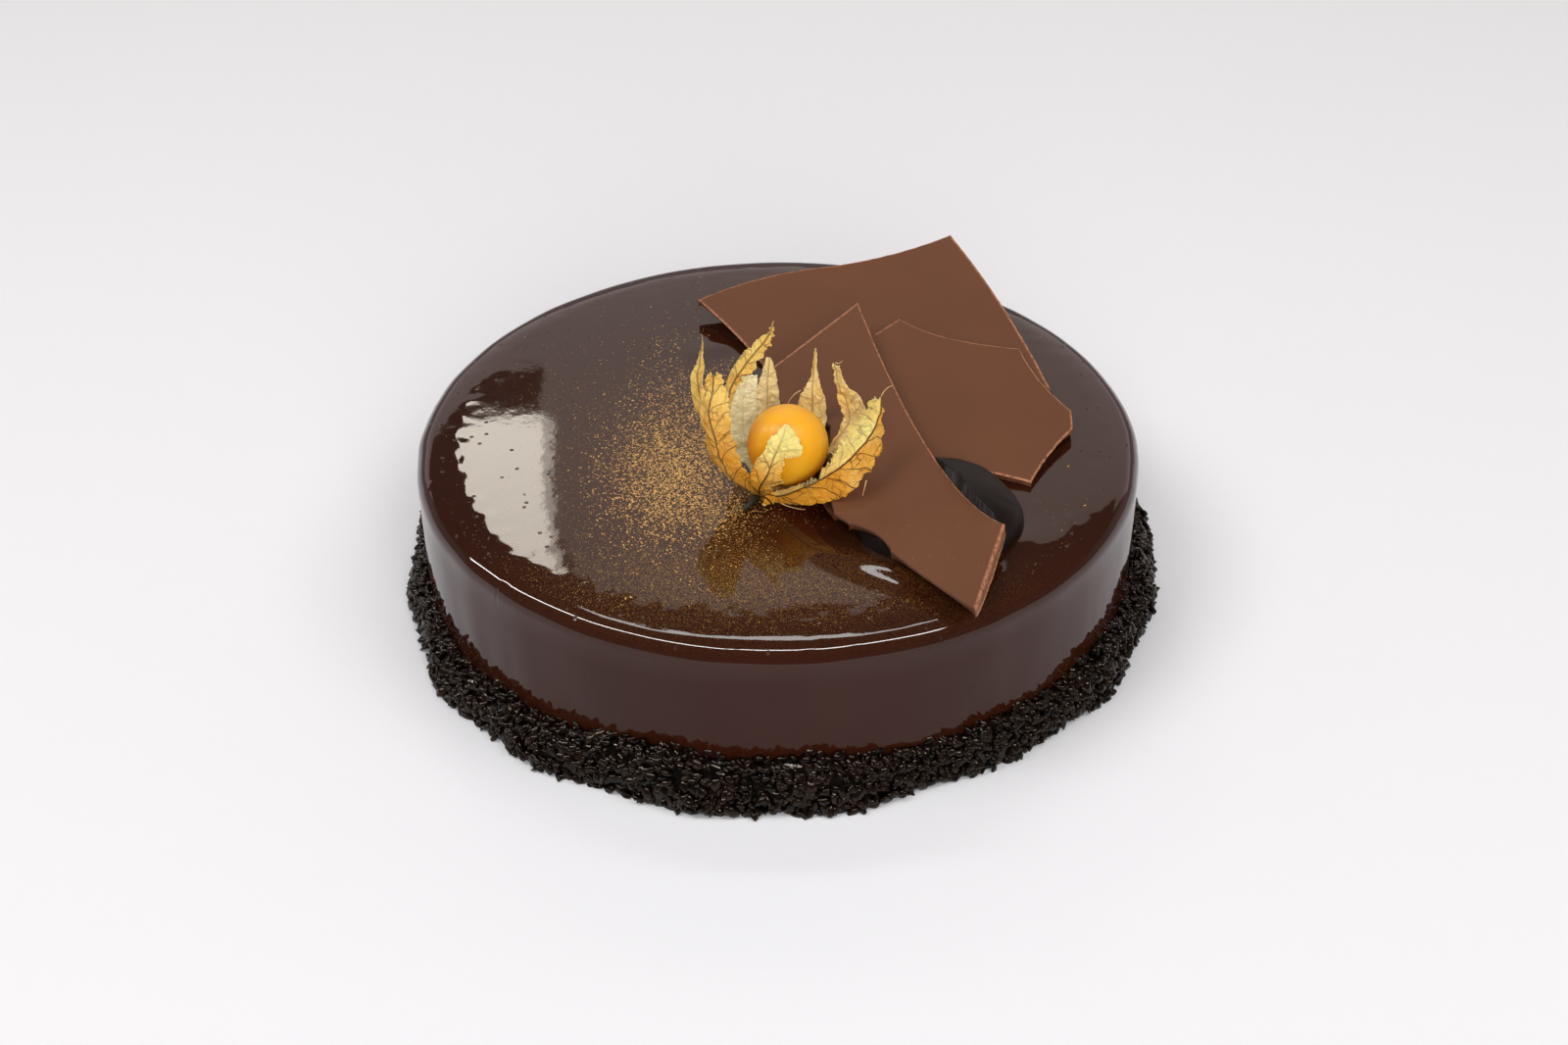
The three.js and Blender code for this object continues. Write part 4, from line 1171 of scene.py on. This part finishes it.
def glaze_material():
    """Dark mirror glaze: a deep red-brown under a clear surface, faintly uneven, with a clear coat on the
    top, small burst bubbles and a haze of the finest gold dust."""
    glaze = Finish("mirror_glaze", cloud=(40, 3.0), grain=(1400, 2.0), IOR=1.45,
                   Specular_IOR_Level=0.3, Coat_Roughness=0.035)
    tint = glaze.mix(glaze.cloud, srgb(42, 17, 8), srgb(52, 21, 10))
    specks = glaze.ramp(glaze.noise(glaze.place, 2400, 1.0), 0.4, 0.64)
    # The haze mark carries gold dust, faded out in front of the husk as painted shade
    haze = glaze.math("MULTIPLY", glaze.mark("haze"), glaze.math("MULTIPLY", specks, 0.5))
    tint = glaze.mix(haze, tint, srgb(142, 102, 46))
    on_top = glaze.ramp(glaze.parts(glaze.place)["Z"], 0.03, 0.041)
    bubbles = glaze.cells(glaze.place, 150.0, voronoi_dimensions="2D")
    sparse = glaze.math("MULTIPLY", glaze.ramp(glaze.noise(glaze.place, 90, 1.0), 0.46, 0.52), on_top)
    pits = glaze.math("MULTIPLY", glaze.fall(bubbles, 0.03, 0.08), sparse)
    height = glaze.math("MULTIPLY", glaze.grain, 0.02)
    height = glaze.math("MULTIPLY_ADD", glaze.noise(glaze.place, 220, 2.0), 0.12, height)
    height = glaze.math("MULTIPLY_ADD", glaze.noise(glaze.place, 60, 2.0), 0.3, height)
    normal = glaze.bump(glaze.math("MULTIPLY_ADD", pits, -0.6, height), strength=0.25, distance=0.0004)
    roughness = glaze.math("MULTIPLY_ADD", pits, 0.5, 0.035)
    return glaze.done(Base_Color=tint, Roughness=roughness, Normal=normal, Coat_Normal=normal,
                      Coat_Weight=glaze.math("MULTIPLY", on_top, 0.3))


def flake_material(name, light):
    """Dark chocolate flakes: near black, each with its own tone and an uneven gloss."""
    flake = Finish(name, grain=(1800, 3.0), Specular_IOR_Level=0.3, Specular_Tint=(1.0, 0.84, 0.7, 1))
    tone = flake.mark("tone")
    tint = flake.mix(flake.math("MULTIPLY", tone, flake.grain), srgb(8, 5, 3), srgb(*light))
    roughness = flake.math("MULTIPLY_ADD", tone, 0.14, 0.07)
    normal = flake.bump(flake.grain, strength=0.12, distance=0.0003)
    return flake.done(Base_Color=tint, Roughness=roughness, Normal=normal)


def shard_material():
    """Satin milk chocolate: slow clouding, fine scuffs, pale broken edges that also carry a painted
    highlight, and painted shade on the undercut ones.
    """
    shard = Finish("milk_chocolate", cloud=(35, 4.0), grain=(2600, 2.0), Specular_IOR_Level=0.15)
    edge = shard.mark("edge")
    tint = shard.mix(shard.cloud, srgb(96, 57, 34), srgb(112, 70, 45))
    # Pale edge line: partly paler broken chocolate, partly a painted highlight
    scuff_and_highlight = shard.math("MULTIPLY", edge, shard.ramp(shard.noise(shard.place, 900), 0.25, 0.6))
    tint = shard.mix(scuff_and_highlight, tint, srgb(196, 134, 100))
    # Painted shade on the undercut edges, where the foot stands far in
    tint = shard.mix(shard.math("MULTIPLY", edge, -1.0, clamp=True), tint, srgb(44, 25, 16))
    roughness = shard.math("MULTIPLY_ADD", shard.cloud, 0.15, 0.4)
    normal = shard.bump(shard.grain, strength=0.12, distance=0.0002)
    return shard.done(Base_Color=tint, Roughness=roughness, Normal=normal)


def ganache_material():
    """Smooth dark ganache: near black with a soft sheen and a faint bloom."""
    ganache = Finish("dark_ganache", cloud=(180, 4.0), grain=(1400, 3.0), Specular_IOR_Level=0.14)
    tint = ganache.mix(ganache.cloud, srgb(18, 13, 10), srgb(28, 20, 16))
    roughness = ganache.math("MULTIPLY_ADD", ganache.cloud, 0.2, 0.32)
    normal = ganache.bump(ganache.grain, strength=0.08, distance=0.0002)
    return ganache.done(Base_Color=tint, Roughness=roughness, Normal=normal)


def berry_material():
    """Taut orange skin: flesh that scatters light below a waxy surface, clouded in tone and finely grained
    in relief.
    """
    berry = Finish("berry_skin", cloud=(120, 3.0), grain=(2200, 2.0), Specular_IOR_Level=0.3,
                   Subsurface_Weight=1.0, Subsurface_Scale=0.01, Subsurface_Radius=(1.0, 0.55, 0.1))
    tint = berry.mix(berry.cloud, srgb(255, 162, 28), srgb(255, 182, 42))
    roughness = berry.math("MULTIPLY_ADD", berry.cloud, 0.15, 0.3)
    normal = berry.bump(berry.grain, strength=0.06, distance=0.0002)
    return berry.done(Base_Color=tint, Roughness=roughness, Normal=normal)


def husk_material(name, ochre, cream, vein_colour, vein_share, depth):
    """Dry papery leaf: clouded ochre that bleaches to cream, and paler still as painted light on one petal's
    lit half, with darker veins that stand up a little, weaker where it is pale. Light passes through the
    thin sheet."""
    husk = Finish(name, cloud=(160, 4.0), grain=(1500, 2.0), IOR=1.4, Roughness=0.55,
                  Specular_IOR_Level=0.3, Subsurface_Weight=depth, Subsurface_Scale=0.0012,
                  Subsurface_Radius=(1.0, 0.75, 0.35))
    mapped = husk.add("ShaderNodeTexCoord").outputs["UV"]
    veins = husk.add("ShaderNodeGroup", {"Map": mapped}, node_tree=LEAF_VEINS).outputs["Veins"]
    # pale holds the bleaching from base to tip and, on the keel petal's upper half, painted light
    pale = husk.mark("pale")
    bleach_and_painted_light = husk.math("MULTIPLY_ADD", husk.math("SUBTRACT", husk.cloud, 0.5), 1.1, pale)
    bleach_and_painted_light = husk.math("ADD", bleach_and_painted_light, husk.math("MULTIPLY", husk.grain, 0.15), clamp=True)
    tint = husk.mix(bleach_and_painted_light, srgb(*ochre), srgb(*cream))
    strength = husk.math("MULTIPLY", veins, husk.math("MULTIPLY_ADD", pale, -0.7 * vein_share, vein_share))
    tint = husk.mix(strength, tint, srgb(*vein_colour))
    wrinkle = husk.math("ABSOLUTE", husk.math("SUBTRACT", husk.noise(husk.place, 520), 0.5))
    height = husk.math("MULTIPLY_ADD", husk.grain, 0.4, veins)
    height = husk.math("MULTIPLY_ADD", wrinkle, -4.0, height)
    return husk.done(Base_Color=tint, Normal=husk.bump(height, strength=0.8, distance=0.0005))


def two_tones(name, scale, dark, light, **values):
    """A plain finish, one tone that clouds into another."""
    finish = Finish(name, cloud=(scale, 3.0), **values)
    return finish.done(Base_Color=finish.mix(finish.cloud, srgb(*dark), srgb(*light)))


def stem_material():
    """The cut stem: its own dull dark green going brown, darkened close to black as painted shade, since it
    lies in shadow at the husk's foot.
    """
    return two_tones("dry_stem", 300, (20, 18, 11), (46, 40, 24), Roughness=0.7)


def thread_material():
    """Dry threads: straw with browner stretches."""
    return two_tones("dry_thread", 250, (190, 148, 84), (226, 192, 132), Roughness=0.6)


def dust_material():
    """Gold lustre dust: pale gold metal, each speck a little different."""
    return two_tones("gold_lustre", 700, (204, 148, 68), (244, 202, 122), Roughness=0.38, Metallic=0.4)


def floor_material():
    """Plain pale floor."""
    return two_tones("pale_floor", 3, (240, 239, 241), (242, 241, 243), Roughness=0.9)


# Stage

def turned_to(right, up, back):
    """The turn of a camera or a light from its three directions."""
    return Matrix((right, up, back)).transposed().to_4x4()


def add_camera():
    """A camera at the photograph's viewing angle: yaw and pitch from its place, then a slight roll."""
    yaw, pitch, roll = (math.radians(value) for value in (CAMERA_YAW, CAMERA_PITCH, CAMERA_ROLL))
    right = Vector((math.cos(yaw), -math.sin(yaw), 0))
    ahead = Vector((math.sin(yaw), math.cos(yaw), 0))
    forward = math.cos(pitch) * ahead - math.sin(pitch) * Vector((0, 0, 1))
    up = math.sin(pitch) * ahead + math.cos(pitch) * Vector((0, 0, 1))
    level = math.cos(roll) * right + math.sin(roll) * up
    above = math.cos(roll) * up - math.sin(roll) * right
    data = bpy.data.cameras.new("camera")
    data.lens = CAMERA_LENS
    data.sensor_fit = "HORIZONTAL"
    data.clip_start = CAMERA_NEAR
    camera = bpy.data.objects.new("camera", data)
    camera.matrix_world = Matrix.Translation(Vector(CAMERA_AT) * MM) @ turned_to(level, above, -forward)
    bpy.context.scene.collection.objects.link(camera)
    bpy.context.scene.camera = camera


def add_light(name, at, width, height, radiance, target=CAKE_HEART, colour=(1, 1, 1), along=(1, 0, 0),
              diffuse=True, glossy=True):
    """A rectangular soft light that faces a target, its width along a given direction, with the same
    radiance all over. It may be left out of soft or of mirrored light."""
    data = bpy.data.lights.new(name, "AREA")
    data.shape = "RECTANGLE"
    data.size = width
    data.size_y = height
    data.energy = radiance * math.pi * width * height
    data.color = colour
    back = (Vector(at) - Vector(target)).normalized()
    side = (Vector(along) - Vector(along).dot(back) * back).normalized()
    lamp = bpy.data.objects.new(name, data)
    lamp.matrix_world = Matrix.Translation(Vector(at)) @ turned_to(side, back.cross(side), back)
    lamp.visible_camera = False
    lamp.visible_diffuse = diffuse
    lamp.visible_glossy = glossy
    bpy.context.scene.collection.objects.link(lamp)


def add_world():
    """A dim room, a little brighter near the horizon and most of all behind. The camera sees plain pale
    grey."""
    world = bpy.data.worlds.new("studio")
    world.use_nodes = True
    bpy.context.scene.world = world
    wiring = Wiring(world.node_tree)
    ray = wiring.parts(wiring.add("ShaderNodeTexCoord").outputs["Generated"])
    low = wiring.mix(wiring.ramp(ray["Y"], *ROOM_TO_BACK), ROOM_FRONT, ROOM_BACK)
    room = wiring.mix(wiring.ramp(ray["Z"], *ROOM_TO_ABOVE), low, ROOM_ABOVE)
    seen = wiring.add("ShaderNodeLightPath").outputs["Is Camera Ray"]
    tint = wiring.mix(seen, room, ROOM_SEEN)
    wiring.tree.links.new(tint, world.node_tree.nodes["Background"].inputs["Color"])


def add_floor():
    """A wide level disc at the cake's foot."""
    ring = polar(FLOOR_RADIUS, full_turn(FLOOR_SIDES), 0)
    mesh = bpy.data.meshes.new("floor")
    mesh.from_pydata(ring.tolist(), [], [list(range(FLOOR_SIDES))])
    mesh.materials.append(floor_material())
    floor = bpy.data.objects.new("floor", mesh)
    bpy.context.scene.collection.objects.link(floor)


def add_stage():
    """Camera, room, floor, pale cards and a softbox behind, strips overhead that the glaze mirrors and soft
    lights at the sides and in front."""
    bpy.context.scene.view_settings.view_transform = "Standard"
    add_camera()
    add_world()
    add_floor()
    for light in LIGHTS:
        add_light(**light)


def build():
    """All pieces of the cake with their finishes."""
    add_stage()
    glaze_piece(glaze_material())
    collar_core(flake_material("collar_crumb", light=(22, 13, 9)))
    flakes = flake_material("dark_flakes", light=(36, 21, 13))
    chips = flake_material("dark_chips", light=(42, 26, 17))
    collar_flakes("collar_flakes", FLAKE_COUNT, FLAKE_LENGTH, FLAKE_SEED, flakes)
    collar_flakes("collar_chips", CHIP_COUNT, CHIP_LENGTH, CHIP_SEED, chips)
    chocolate = shard_material()
    for index, name in enumerate(SHARDS):
        shard_piece(name, chocolate, SHARD_SEED + SEED_STEP * index)
    ganache = ganache_material()
    for node in DOLLOPS:
        ganache_piece(node, ganache)
    berry_piece(berry_material())
    outside = husk_material("husk_outside", ochre=(216, 147, 42), cream=(255, 226, 140),
                            vein_colour=(62, 41, 22), vein_share=0.95, depth=0.65)
    inside = husk_material("husk_inside", ochre=(246, 190, 90), cream=(255, 247, 198),
                           vein_colour=(132, 94, 50), vein_share=0.6, depth=0.3)
    husk_pieces(outside, inside, thread_material(), stem_material())
    gold_dust(dust_material())


build()
